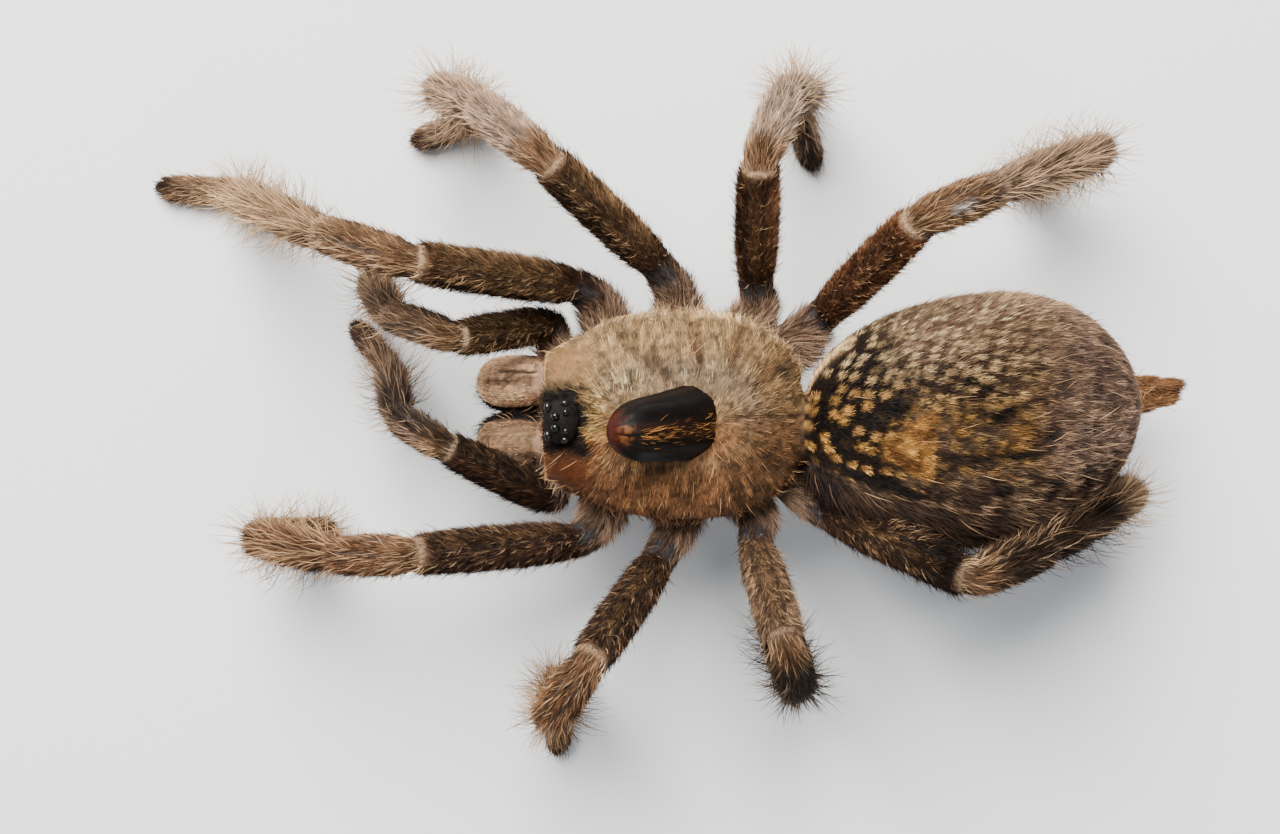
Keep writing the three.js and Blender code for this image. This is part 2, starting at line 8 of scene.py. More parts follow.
# %% Load the frame
import bpy
import numpy as np
from mathutils import Matrix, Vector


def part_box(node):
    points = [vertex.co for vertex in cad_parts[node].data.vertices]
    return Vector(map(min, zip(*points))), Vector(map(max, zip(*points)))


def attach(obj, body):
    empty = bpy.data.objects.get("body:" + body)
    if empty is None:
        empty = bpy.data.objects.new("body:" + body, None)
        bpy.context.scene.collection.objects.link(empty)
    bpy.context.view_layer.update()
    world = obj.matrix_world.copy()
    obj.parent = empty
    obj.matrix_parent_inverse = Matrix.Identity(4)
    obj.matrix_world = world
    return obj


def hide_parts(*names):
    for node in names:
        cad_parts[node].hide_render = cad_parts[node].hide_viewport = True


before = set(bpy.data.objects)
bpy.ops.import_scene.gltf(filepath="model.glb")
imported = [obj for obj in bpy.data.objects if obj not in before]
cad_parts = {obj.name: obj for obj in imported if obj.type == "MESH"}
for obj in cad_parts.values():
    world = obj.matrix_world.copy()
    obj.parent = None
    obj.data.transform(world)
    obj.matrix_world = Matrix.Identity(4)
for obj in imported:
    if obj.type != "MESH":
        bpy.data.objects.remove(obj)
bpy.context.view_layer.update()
MM = 0.001
rng = np.random.default_rng(11)
shell_low, shell_high = (np.array(corner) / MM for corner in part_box("carapace"))
SHELL_MIDDLE = np.array([2.4, 0.0])
ORIGIN = np.array([*((shell_low + shell_high)[:2] / 2 - SHELL_MIDDLE), 0.0])

# %% [markdown]
# ## Camera and light
# The animal is seen from almost straight above, so the camera hangs over it and leans back three degrees.
# It comes first because everything else is judged through it. Two large soft lamps stand in for a window
# on the animal's right side and for the sky, and a pale floor catches the shadows.

# %% Camera, lamps and floor
CAMERA_AIM = np.array([0.0, 0.0, 17.0])
CAMERA_AWAY = 140.0
CAMERA_LEAN = np.radians(3.0)
LENS, SENSOR, NEAREST = 55.5, 36.0, 0.01
LAMPS = (
    ("window", (-0.1, 0.27, 0.36), 0.34, 8.6, (1.0, 0.985, 0.96)),
    ("fill", (0.25, -0.3, 0.4), 0.4, 0.8, (0.93, 0.96, 1.0)),
)
LAMP_AIM = np.array([0.0, 0.0, 0.01])
SKY_COLOUR, SKY_STRENGTH = (0.8, 0.86, 0.94, 1.0), 0.38


def to_frame(points):
    """Millimetres round the front body to metres in the frame: move by the origin, then scale."""
    return (np.asarray(points, float) + ORIGIN) * MM


def hang_camera():
    """Looks down the line that leans back from upright by the lean, with the animal's right at the top."""
    back = np.array([0.0, np.sin(CAMERA_LEAN), np.cos(CAMERA_LEAN)])
    up = np.array([0.0, np.cos(CAMERA_LEAN), -np.sin(CAMERA_LEAN)])
    lens = bpy.data.cameras.new("camera")
    lens.lens, lens.sensor_width, lens.clip_start = LENS, SENSOR, NEAREST
    camera = bpy.data.objects.new("camera", lens)
    turn = Matrix(np.column_stack([[1.0, 0.0, 0.0], up, back]).tolist()).to_4x4()
    camera.matrix_world = Matrix.Translation(to_frame(CAMERA_AIM + CAMERA_AWAY * back)) @ turn
    bpy.context.scene.collection.objects.link(camera)
    bpy.context.scene.camera = camera


def add_lamp(name, place, size, watts, colour):
    """A square soft lamp at a place in metres, turned to face the animal."""
    light = bpy.data.lights.new(name, "AREA")
    light.size, light.energy, light.color = size, watts, colour
    lamp = bpy.data.objects.new(name, light)
    away = np.array(place) - LAMP_AIM
    side = np.cross([0.0, 0.0, 1.0], away)
    axes = [side / np.linalg.norm(side), None, away / np.linalg.norm(away)]
    axes[1] = np.cross(axes[2], axes[0])
    lamp.matrix_world = Matrix.Translation(place) @ Matrix(np.column_stack(axes).tolist()).to_4x4()
    bpy.context.scene.collection.objects.link(lamp)


hang_camera()
for lamp in LAMPS:
    add_lamp(*lamp)
world = bpy.data.worlds.new("soft sky")
world.use_nodes = True
sky = world.node_tree.nodes["Background"].inputs
sky["Color"].default_value, sky["Strength"].default_value = SKY_COLOUR, SKY_STRENGTH
bpy.context.scene.world = world
print("camera", np.round(np.array(bpy.context.scene.camera.location), 4))

# %% [markdown]
# ## The joints of the limbs
# Each limb hangs on the front body at its hip and bends at its joints. The solids were made from the same
# few numbers: where each limb starts, how long its segments are, and which way each one points. Saying
# them again here lets the skin and the hairs follow the limbs exactly.

# %% Where the limbs run
HIPS = {
    "palp": ((-5.0, 2.5, 9.9), (-6.3, 4.2, 10.1), (-6.4, 6.6, 10.6)),
    "leg1": ((-1.9, 4.1, 10.3), (-2.9, 8.0, 10.9), (-4.4, 9.3, 12.6)),
    "leg2": ((2.4, 4.3, 10.1), (2.9, 8.4, 10.5), (1.4, 10.8, 12.0)),
    "leg3": ((5.7, 4.4, 9.9), (8.9, 7.3, 10.1), (8.5, 9.6, 11.4)),
    "leg4": ((8.9, 3.7, 9.7), (11.9, 5.6, 9.8), (13.6, 7.3, 10.8)),
}
LENGTHS = {
    "palp": (9.9, 6.4, 7.2, 6.8),
    "leg1": (14.4, 8.6, 10.0, 8.6, 6.4),
    "leg2": (13.4, 7.6, 8.6, 8.2, 6.0),
    "leg3": (11.6, 6.8, 7.0, 8.2, 6.0),
    "leg4": (14.4, 8.0, 10.8, 12.0, 6.6),
}
# Heading from +X towards +Y and pitch above the horizontal, in degrees, of the femur, patella and tibia,
# then the headings of what follows, whose pitch is the one that brings the foot to the floor.
STANCE = {
    "leg1_right": ((172, 38), (163, -33), (158, -50), 155, 176),
    "leg2_right": ((138, 38), (140, -31), (152, -62), 340, 200),
    "leg3_right": ((92, 46), (68, -34), (20, -72), 120, 288),
    "leg4_right": ((50, 55), (22, -35), (20, -31), 200, 24),
    "leg1_left": ((180, 38), (187, -44), (177, -44), 355, 178),
    "leg2_left": ((229, 56), (240, -43), (260, -86), 90, 268),
    "leg3_left": ((285, 59), (288, -52), (290, -85), 110, 285),
    "leg4_left": ((338, 46), (14, -38), (24, -36), 190, 20),
    "palp_right": ((189, 49), (163, -34), (132, -62), 125),
    "palp_left": ((150, 29), (155, -46), (112, -60), 133),
}
FOOT_HEIGHTS = (1.15, 0.85)
PALP_TIP_HEIGHT = -0.25


def turned(turn):
    """A turn brought between minus half a turn and half a turn."""
    return (turn + np.pi) % (2 * np.pi) - np.pi


def direction(heading, pitch):
    """The unit arrow that points along a heading and a pitch, both in degrees."""
    heading, pitch = np.radians((heading, pitch))
    return np.array([np.cos(pitch) * np.cos(heading), np.cos(pitch) * np.sin(heading), np.sin(pitch)])


def limb_joints(limb):
    """The joints from sternum to tip: each is the one before plus a segment's length along its arrow."""
    kind, side = limb.split("_")
    joints = [np.array(p) * (1, 1 if side == "right" else -1, 1) for p in HIPS[kind]]
    lengths = LENGTHS[kind]
    for length, bearing in zip(lengths, STANCE[limb][:3]):
        joints.append(joints[-1] + length * direction(*bearing))
    heights = (PALP_TIP_HEIGHT,) if kind == "palp" else FOOT_HEIGHTS
    for length, heading, height in zip(lengths[3:], STANCE[limb][3:], heights):
        drop = np.clip((height - joints[-1][2]) / length, -1, 1)
        joints.append(joints[-1] + length * direction(heading, np.degrees(np.arcsin(drop))))
    return np.array(joints)


for limb in STANCE:
    knee = limb_joints(limb)[3]
    low, high = (np.array(c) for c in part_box(f"{limb}_femur"))
    off = (low[2] + high[2]) / 2 / MM - knee[2]
    print(limb, "knee", np.round(knee, 1), "above its thigh's middle by", np.round(-off, 1))

# %% [markdown]
# ## Tubes with joints
# A spider's leg is a row of tubes, each a little thinner at its two ends. One long smooth line runs
# through the joints, with every bend rounded, and a ring of skin stands square on it at each step. The
# number q says where a ring is: its whole part counts the joints passed, its rest is the share of the
# segment that follows. The ring also keeps which way is the back of the leg, so that stripes stay on top.

# %% A smooth line through the joints
BEND_REACH, BEND_SHARE, BEND_STEPS = 1.0, 0.4, 9
STEP = 0.2


class Tube:
    """A line with rings on it: places, q, arrows along, sideways and up, and the rings' half-sizes."""

    def __init__(self, joints, girth, side=None):
        joints = np.asarray(joints, float)
        runs = np.diff(joints, axis=0)
        lengths = np.linalg.norm(runs, axis=1)
        runs /= lengths[:, None]
        reach = np.minimum(BEND_REACH, BEND_SHARE * np.minimum(lengths[:-1], lengths[1:]))
        reach = np.concatenate([[0.0], reach, [0.0]])
        places, steps = [], []
        for i, length in enumerate(lengths):
            start, end = reach[i], length - reach[i + 1]
            along = np.linspace(start, end, max(2, int((end - start) / STEP)))
            places.append(joints[i] + along[:, None] * runs[i])
            steps.append(i + along / length)
            if i + 1 < len(lengths):
                t = np.linspace(0, 1, BEND_STEPS)[1:-1, None]
                before, after = places[-1][-1], joints[i + 1] + reach[i + 1] * runs[i + 1]
                places.append((1 - t) ** 2 * before + 2 * t * (1 - t) * joints[i + 1] + t**2 * after)
                q_before, q_after = steps[-1][-1], i + 1 + reach[i + 1] / lengths[i + 1]
                steps.append(q_before + (q_after - q_before) * t[:, 0])
        self.at = np.concatenate(places)
        self.q = np.concatenate(steps)
        self.run = np.gradient(self.at, axis=0)
        self.run /= np.linalg.norm(self.run, axis=1)[:, None]
        sides = [side if side is not None else np.array([-runs[0][1], runs[0][0], 0.0])]
        for before, after in zip(runs[:-1], runs[1:]):
            axis, turn = np.cross(before, after), np.dot(before, after)
            shift = np.cross(axis, sides[-1])
            sides.append(sides[-1] + shift + np.cross(axis, shift) / (1 + turn))
        self.side = np.array([np.interp(self.q, np.arange(len(sides)) + 0.5, c) for c in np.array(sides).T]).T
        self.side -= self.run * (self.side * self.run).sum(1)[:, None]
        self.side /= np.linalg.norm(self.side, axis=1)[:, None]
        self.up = np.cross(self.run, self.side)
        self.along = np.concatenate([[0], np.cumsum(np.linalg.norm(np.diff(self.at, axis=0), axis=1))])
        table = np.array(girth)
        self.wide, self.deep = (np.interp(self.q, table[:, 0], table[:, c]) for c in (1, 2))

    def surface(self, place, turn):
        """Points and outward arrows at a place along (in mm) and a turn from the back of the limb: the
        middle of the ring plus its half-width sideways and its half-depth upwards."""
        def read(values):
            return np.stack([np.interp(place, self.along, column) for column in values.T], -1)

        side, up = read(self.side), read(self.up)
        wide, deep = (np.interp(place, self.along, size)[..., None] for size in (self.wide, self.deep))
        sine, cosine = np.sin(turn)[..., None], np.cos(turn)[..., None]
        out = side * sine / wide + up * cosine / deep
        points = read(self.at) + side * sine * wide + up * cosine * deep
        return points, out / np.linalg.norm(out, axis=-1)[..., None], read(self.run)


LEG_GIRTH = (
    (0, 1.3, 1.3), (0.6, 1.45, 1.45), (0.9, 1.5, 1.45), (1.05, 1.25, 1.25), (1.5, 1.24, 1.25),
    (1.9, 1.14, 1.15), (2.0, 1.05, 1.1), (2.1, 1.22, 1.34), (2.3, 1.36, 1.5), (2.65, 1.38, 1.48),
    (2.93, 1.3, 1.34), (2.97, 1.36, 1.4), (3.0, 1.12, 1.16), (3.06, 1.14, 1.18), (3.2, 1.28, 1.28),
    (3.6, 1.36, 1.32),
    (3.92, 1.22, 1.22), (3.96, 1.28, 1.28), (4.0, 1.06, 1.06), (4.06, 1.08, 1.1), (4.25, 1.22, 1.24),
    (4.6, 1.2, 1.22), (4.93, 1.08, 1.1), (5.0, 0.95, 0.95), (5.08, 1.02, 1.0), (5.5, 1.02, 0.98),
    (5.92, 1.0, 0.94), (6.0, 0.9, 0.86), (6.1, 1.02, 0.88), (6.5, 1.1, 0.86), (6.8, 1.04, 0.8),
    (6.93, 0.82, 0.66), (7.0, 0.34, 0.3),
)
PALP_SHARE = 0.87


def limb_tube(limb):
    """A limb's tube. A palp has no metatarsus, so its tarsus takes the girth that a leg's has after it."""
    table = np.array(LEG_GIRTH)
    if limb.startswith("palp"):
        table = table[(table[:, 0] < 5) | (table[:, 0] > 6.05)]
        table[table[:, 0] > 6, 0] -= 1
        table[:, 1:] *= PALP_SHARE
    return Tube(limb_joints(limb), table)


limbs = {limb: limb_tube(limb) for limb in STANCE}
print({limb: f"{tube.along[-1]:.1f} mm" for limb, tube in limbs.items()})

# %% [markdown]
# ## The body
# The shell is a low dome over an egg-shaped rim, drawn in where the furrows between the leg muscles run
# out from the horn. The abdomen is a soft egg that leans a little to the left. Both are grids: one
# parameter runs from front to back, the other once round. The jaws, the spinnerets and the waist are short
# tubes, and the plate between the legs is a flat egg.

# %% Shell, abdomen and underside
SHELL_ROWS = np.array([
    (-7.1, 4.5, 17.3), (-6.4, 5.0, 18.5), (-4.6, 5.9, 19.1), (-2.2, 7.1, 19.2), (1.0, 7.8, 19.0),
    (4.2, 7.9, 18.7), (7.2, 7.4, 17.8), (9.6, 6.2, 16.5), (11.2, 4.5, 15.3), (11.9, 2.8, 14.7),
])
SHELL_RIM, SHELL_DROP, SHELL_LIP = 14.4, 0.05, 0.75
SHELL_COAT = 0.3
FOVEA = np.array([5.2, 0.0])
FURROWS = (38, 72, 104, 140)
FURROW_DEPTH, FURROW_WIDTH, FURROW_START, FURROW_END = 0.32, 6.0, 2.4, 8.4
SOFTENING = 0.35


def smooth_read(table, x):
    """A value read from a table at x: straight lines between its rows, softened by averaging five reads."""
    reads = [np.interp(x + shift * SOFTENING, table[:, 0], table[:, 1]) for shift in (-2, -1, 0, 1, 2)]
    return np.mean(reads, axis=0)


def furrows(x, y):
    """How deep the shell dips: a narrow groove along each ray from the horn's foot, fading at both ends."""
    gap = np.hypot(x - FOVEA[0], y - FOVEA[1])
    bearing = np.degrees(np.arctan2(np.abs(y - FOVEA[1]), x - FOVEA[0]))
    fade = np.clip((gap - FURROW_START) / 1.5, 0, 1) * np.clip((FURROW_END - gap) / 2.5, 0, 1)
    dips = [np.exp(-(((bearing - ray) / FURROW_WIDTH) ** 2)) for ray in FURROWS]
    return FURROW_DEPTH * fade * np.sum(dips, axis=0)


def shell_surface(x, turn):
    """The dome: round the ring, y is the half-width times the cosine of the turn, and the height above the
    rim grows with its sine; the lower half is a thin lip."""
    half = smooth_read(SHELL_ROWS[:, [0, 1]], x) - SHELL_COAT
    top = smooth_read(SHELL_ROWS[:, [0, 2]], x) - SHELL_COAT
    rim = SHELL_RIM - SHELL_DROP * x
    rise = np.sin(turn)
    y = half * np.cos(turn)
    above = rim + (top - rim) * np.abs(rise) ** 0.9 - furrows(x, y) * np.clip(rise, 0, 1)
    below = rim - SHELL_LIP * np.abs(rise) ** 0.4
    return np.stack([x + 0 * y, y, np.where(rise > 0, above, below)], -1)


ABDOMEN_MIDDLE = np.array([25.5, -0.3, 12.9])
ABDOMEN_FRONT, ABDOMEN_REAR = 14.0, 11.1
ABDOMEN_HALF = np.array([9.45, 7.3])
ABDOMEN_ROLL = np.radians(13)
ABDOMEN_SLANT = 0.055
ABDOMEN_BLUNT = 0.38
ABDOMEN_COAT = 0.4


def abdomen_surface(share, turn):
    """The egg: share 0 is the front and 1 the rear, and x goes with the cosine; the ring swells as a
    blunt curve in front and a circle behind, and turn 0 is the middle of the back, which leans left."""
    along = -np.cos(np.pi * share)
    swell = np.clip(1 - along**2, 0, 1) ** np.where(along < 0, ABDOMEN_BLUNT, 0.5)
    reach = along * (np.where(along < 0, ABDOMEN_FRONT, ABDOMEN_REAR) - ABDOMEN_COAT)
    x = ABDOMEN_MIDDLE[0] + reach
    side = (ABDOMEN_HALF[0] - ABDOMEN_COAT) * swell * np.sin(turn)
    up = (ABDOMEN_HALF[1] - ABDOMEN_COAT) * swell * np.cos(turn)
    y = ABDOMEN_MIDDLE[1] + ABDOMEN_SLANT * reach + side * np.cos(ABDOMEN_ROLL) - up * np.sin(ABDOMEN_ROLL)
    z = ABDOMEN_MIDDLE[2] + side * np.sin(ABDOMEN_ROLL) + up * np.cos(ABDOMEN_ROLL)
    return np.stack([x, y, z], -1)


# Middle along x, half-length, bluntness of the ends, half-width, height of the middle and half-depth.
PLATE = (3.5, 8.0, 2, 3.5, 10.6, 2.3)
MEMBRANE = (2.0, 9.1, 8, 5.9, 12.7, 1.7)


def flat_egg(size, x, turn):
    """A flat egg: its half-width and half-depth follow a bow over its length. The sternum is one, and the
    soft wall that closes the gap between the shell and the leg bases is another with blunter ends."""
    middle, reach, blunt, half, height, deep = size
    bow = np.sqrt(np.clip(1 - ((x - middle) / reach) ** blunt, 0, 1))
    return np.stack([x, half * bow * np.cos(turn), height + deep * bow * np.sin(turn)], -1)


MIRRORS = (("right", 1), ("left", -1))
JAW_GIRTH = (
    (0, 1.75, 2.9), (0.3, 1.95, 3.3), (0.6, 2.0, 3.35), (0.8, 1.8, 2.9), (0.92, 1.35, 2.1), (1, 0.6, 1.0),
)
JAW_SIDEWAYS = np.array([0.0, -1.0, 0.0])
jaws = {
    side: Tube([(-6.6, mirror * 2.24, 10.6), (-11.9, mirror * 2.24, 9.2)], JAW_GIRTH, JAW_SIDEWAYS)
    for side, mirror in MIRRORS
}
SPINNERET_GIRTH = np.array([
    (0, 0.9, 0.9), (0.3, 0.88, 0.88), (0.36, 0.74, 0.74), (0.62, 0.74, 0.74), (0.68, 0.6, 0.6),
    (0.94, 0.5, 0.5), (1, 0.25, 0.25),
])
THINNER = (1, 0.5, 0.5)
spinnerets = {
    "right": Tube([(34.3, 1.85, 8.7), (40.7, 2.0, 8.8)], SPINNERET_GIRTH),
    "left": Tube([(34.3, 0.15, 8.7), (40.3, 1.0, 8.6)], SPINNERET_GIRTH),
    "under_right": Tube([(34.0, 1.6, 7.6), (36.8, 1.7, 7.35)], SPINNERET_GIRTH * THINNER),
    "under_left": Tube([(34.0, 0.6, 7.6), (36.8, 0.8, 7.35)], SPINNERET_GIRTH * THINNER),
}
waist = Tube([(9.6, 0, 12.6), (14.2, -0.1, 12.8)], ((0, 1.3, 1.3), (1, 1.3, 1.3)))

# %% [markdown]
# ## One skin
# The real animal is covered by one skin, with no gaps between its pieces. Every tube and egg is made as a
# closed grid first, and each spot of a grid carries what grows there: the tone, the way the hairs lie, the
# length, lift and number of the short hairs and of the long ones, and its place on an unwrap of that part.
# One list of markings then serves both the skin and its coat.

# %% Tones and patterns
RICHER = 1.16


def tone(red, green, blue):
    """A colour as light: screen values of 0 to 255, drawn a little away from grey because the soft film
    curve of the render pales them, then the usual curve from screen to light."""
    shade = np.array([red, green, blue]) / 255
    shade = np.clip(shade.mean() + RICHER * (shade - shade.mean()), 0.005, 1)
    return np.where(shade <= 0.04045, shade / 12.92, ((shade + 0.055) / 1.055) ** 2.4)


def mix(first, second, share):
    """From the first to the second as the share goes from 0 to 1."""
    share = np.clip(share, 0, 1)[..., None]
    return first * (1 - share) + second * share


def ramp(low, high, value):
    """A soft step: 0 up to low, 1 from high, and an S-shaped curve between them."""
    share = np.clip((value - low) / (high - low), 0, 1)
    return share**2 * (3 - 2 * share)


def laid(shade, *layers):
    """One tone after another laid over a shade, each by its own share."""
    for colour, share in layers:
        shade = mix(shade, colour, share)
    return shade


def blot(u, v, power=2):
    """A soft blot: 1 in its middle and about a third where u or v is 1; a higher power squares it off."""
    return np.exp(-(u**power + v**power))


def band(value, middle, half):
    """A soft stripe: 1 on its middle, falling to about a third at half its width away."""
    return np.exp(-(((value - middle) / half) ** 2))


def chance(whole, seed):
    """A steady random number from 0 to 1 for whole numbers: the loose end of a large sine."""
    key = whole @ np.array([127.1, 311.7, 74.7])[: whole.shape[-1]]
    return np.modf(np.abs(np.sin(key + 17.3 * seed) * 43758.5453))[0]


def cloud(points, size, seed):
    """Soft noise from 0 to 1: random values at the corners of cubes, blended inside each cube."""
    spot = points / size
    corner = np.floor(spot)
    share = spot - corner
    share = share**2 * (3 - 2 * share)
    total = 0
    for step in np.ndindex(2, 2, 2):
        weight = np.prod(np.where(np.array(step) == 1, share, 1 - share), -1)
        total = total + weight * chance(corner + step, seed)
    return total


def dots(u, v, spacing, seed):
    """Scattered dots: the distance to the nearest point of a shaken square lattice, in spacings, and a
    random number for the dot."""
    spot = np.stack([u, v], -1) / spacing
    cell = np.floor(spot)
    nearest, lot = np.full(u.shape, 9.0), np.zeros(u.shape)
    for step in np.ndindex(3, 3):
        near = cell + np.array(step) - 1
        shake = np.stack([chance(near, seed), chance(near, seed + 5)], -1)
        gap = np.linalg.norm(near + 0.5 + 0.55 * (shake - 0.5) - spot, axis=-1)
        lot = np.where(gap < nearest, chance(near, seed + 9), lot)
        nearest = np.minimum(gap, nearest)
    return nearest, lot


def tufted(u, v, spacing, seed):
    """Fur in tufts: how near a spot is to the middle of its tuft, and how bright that tuft is."""
    gap, lot = dots(u, v, spacing, seed)
    near = ramp(0.62, 0.2, gap)
    return near, (0.45 + 0.55 * near) * (0.72 + 0.56 * lot)


TUFT = 0.3


def tufts(spots, seed):
    """A steady random number that neighbouring hairs share, in patches a third of a millimetre wide."""
    shake = np.stack([cloud(spots, 0.4, seed + k) for k in range(3)], -1)
    return chance(np.floor(spots / TUFT + 1.2 * shake), seed)


def rows(*values):
    """Values for every spot, side by side, where single numbers serve for all of them."""
    return np.stack(np.broadcast_arrays(*values), -1)


def growth(spots, *values):
    """All that is kept for every spot, side by side: its place, its tone, and so on."""
    return np.concatenate([spots] + [np.broadcast_to(value, spots.shape) for value in values], -1)


def unwrapped(share, turn, part):
    """The place on the unwrap: the share along a part, the share of a whole turn round it, its number."""
    return rows(share, turn / (2 * np.pi) % 1, part)


# %% [markdown]
# ## Markings of the front body
# The shell is tan on its right and warmer brown on its left, greyer beside the horn and pale along its
# edge on the right. The paler right and the darker left, edge and front corners included, are partly the
# shell's own colours and partly painted light on the lamp's side and painted shade on the far side. Its
# hairs run out from the horn on all sides. The two front corners are nearly bare, the ground round the eyes
# is black, and a row of short golden hairs stands between the eyes and the horn.

# %% Shell
BLACK, DARK, BARK = tone(24, 19, 17), tone(58, 41, 29), tone(92, 66, 46)
HORN_LINE = np.array([(-0.6, -0.3), (5.0, -0.2)])


def from_horn(x, y):
    """The arrow from the nearest spot of the horn's footprint line, its length, and the place round the
    horn: how far along the line that spot is, plus 4 mm for every radian of the arrow's bearing."""
    start, run = HORN_LINE[0], HORN_LINE[1] - HORN_LINE[0]
    share = np.clip(((x - start[0]) * run[0] + (y - start[1]) * run[1]) / (run @ run), 0, 1)
    arrow = np.stack([x - start[0] - share * run[0], y - start[1] - share * run[1], 0 * x], -1)
    gap = np.linalg.norm(arrow, axis=-1)
    round_it = share * np.linalg.norm(run) + 4 * np.arctan2(arrow[..., 1], arrow[..., 0])
    return arrow / np.maximum(gap, 0.05)[..., None], gap, round_it


def shell_coat(x, turn):
    """What grows on the shell, from the place along it and round it."""
    spots = shell_surface(x, turn)
    y = spots[..., 1]
    lie, gap, round_it = from_horn(x, y)
    blotch = cloud(spots, 1.4, 3)
    near, bright = tufted(0.3 * gap, round_it + 0.6 * cloud(spots, 0.7, 31), 0.26, 4)
    # The right half is paler and the left darker: partly the shell's own colours and partly painted light on
    # the lamp's side and painted shade on the far side.
    right = mix(tone(164, 135, 98), tone(154, 132, 108), band(gap, 3.0, 1.5) * ramp(-6, 1, x))
    right = mix(right, tone(134, 104, 72), 0.7 * ramp(6.5, 9.5, x))
    left = mix(tone(148, 106, 73), tone(110, 81, 56), ramp(5, 9, x))
    # From left to right: the edge and the front corners are painted darker on the left and paler on the
    # right, partly as painted shade and light.
    right_lit_share = ramp(-1, 1, y)
    edge = ramp(0.9, 0.97, np.abs(np.cos(turn))) + ramp(0.1, -0.1, np.sin(turn))
    corner = blot((x + 5.2) / 1.9, (np.abs(y) - 3.9) / 1.45, 4)
    fringe = blot((x + 3.3) / 0.95, (y + 0.2) / 2.3, 4)
    collar = band(gap, 2.7, 0.55) * ramp(1.5, -0.5, x) * ramp(-1.5, 0.5, y)
    shade = laid(
        mix(left, right, ramp(-1.6, 1.2, y + 1.2 * (blotch - 0.5))),
        (tone(160, 132, 98), 0.5 * band(gap, 2.9, 0.7) * ramp(0, -2, y)),
        (BARK, 0.3 * ramp(0.55, 0.9, blotch) + 0.6 * ramp(0.04, 0.28, furrows(x, y))),
        # A dark blot at the rear on the right: painted shade of the muscle relief.
        (tone(70, 58, 42), 0.85 * blot((x - 10.4) / 0.7, (y - 3.1) / 1.3)),
        (DARK, 0.8 * blot((x + 2.7) / 0.9, (y + 4.9) / 0.7)),
        (mix(tone(112, 80, 56), tone(196, 166, 128), right_lit_share), 0.7 * edge),
        (mix(tone(104, 60, 34), tone(156, 121, 85), right_lit_share), corner),
        (mix(tone(190, 152, 96), tone(140, 86, 44), ramp(-0.8, -2, y)), fringe),
        (tone(222, 196, 152), 0.8 * collar * ramp(0.7, 1.0, bright)),
    )
    bright = 1.12 * bright ** (1.5 + 0.6 * collar)
    shade = shade * (bright * (1 - 0.7 * corner) + 0.7 * corner)[..., None]
    ragged = cloud(spots, 0.4, 41) - 0.5
    eyes = blot((x + 5.5 + ragged) / 1.75, (y + 0.15 + ragged) / 2.5, 6)
    eyes = np.maximum(eyes, blot((x + 4.0) / 0.9, (y + 2.2) / 0.7))
    brow = ramp(-6.75, -6.95, x) * ramp(-0.2, 0.1, np.sin(turn)) * ramp(1.9, 2.6, np.abs(y))
    shade = laid(
        shade,
        (DARK, band(y, 0, 0.12) * ramp(5.6, 6.2, x)),
        (tone(20, 15, 13), np.clip(1.3 * eyes, 0, 1) * ramp(-0.3, 0.2, np.sin(turn))),
        (tone(178, 146, 110), brow),
    )
    length = 0.78 - 0.35 * corner - 0.25 * eyes + 0.5 * np.clip(edge, 0, 1) * (blotch - 0.3)
    length = length * (0.5 + 0.5 * near)
    lift = 0.22 - 0.1 * corner + 0.2 * fringe + 0.3 * eyes + 0.2 * collar
    many = (92 + 30 * corner) * (0.5 + 0.5 * np.maximum(near, eyes))
    bristles = rows(1.5 - 0.5 * eyes, 0.5, 0.2 + 0.6 * ramp(0.9, 0.98, np.abs(np.cos(turn))) + 2 * eyes)
    unwrap = unwrapped((x + 7.1) / 19.0, turn, 0.0)
    return growth(spots, shade, lie, rows(length, lift, many), bristles, unwrap)


# %% [markdown]
# ## Markings of the abdomen
# The front of the back is black with rows of golden spots round a golden patch, and two black streaks
# stand beside the patch. Behind it a dark line follows the middle, and pairs of dark spots and bars stand
# beside the line. The sides carry rows of pale tufts that fade into a mottled grey brown at the rear. The
# left half of the back and the left flank are painted darker, as painted shade on the side away from the
# lamp, and the right flank paler, as painted light.
# Spots are counted along the back and across it, from the middle of the back.

# %% Abdomen
GOLD, CREAM = tone(208, 156, 88), tone(204, 174, 134)
DARK_SPOTS = (
    (17.1, 2.5, 1.9, 0.62, 0.28), (16.6, -1.75, 3.2, 0.45, -0.27), (14.4, 0.9, 0.5, 0.9, 0.0),
    (24.9, 2.2, 0.9, 0.5, 0.3), (25.3, -2.3, 0.7, 0.5, 0.0), (29.3, 4.0, 0.35, 1.1, 0.0),
    (31.8, 3.4, 0.35, 0.9, 0.0), (28.5, 0.9, 0.8, 0.35, 0.2), (31.5, -1.9, 0.6, 0.9, 0.0),
    (30.8, 1.0, 0.4, 0.4, 0.0), (29.1, -1.9, 0.5, 0.3, 0.0), (22.6, 4.4, 0.6, 0.4, 0.2),
)


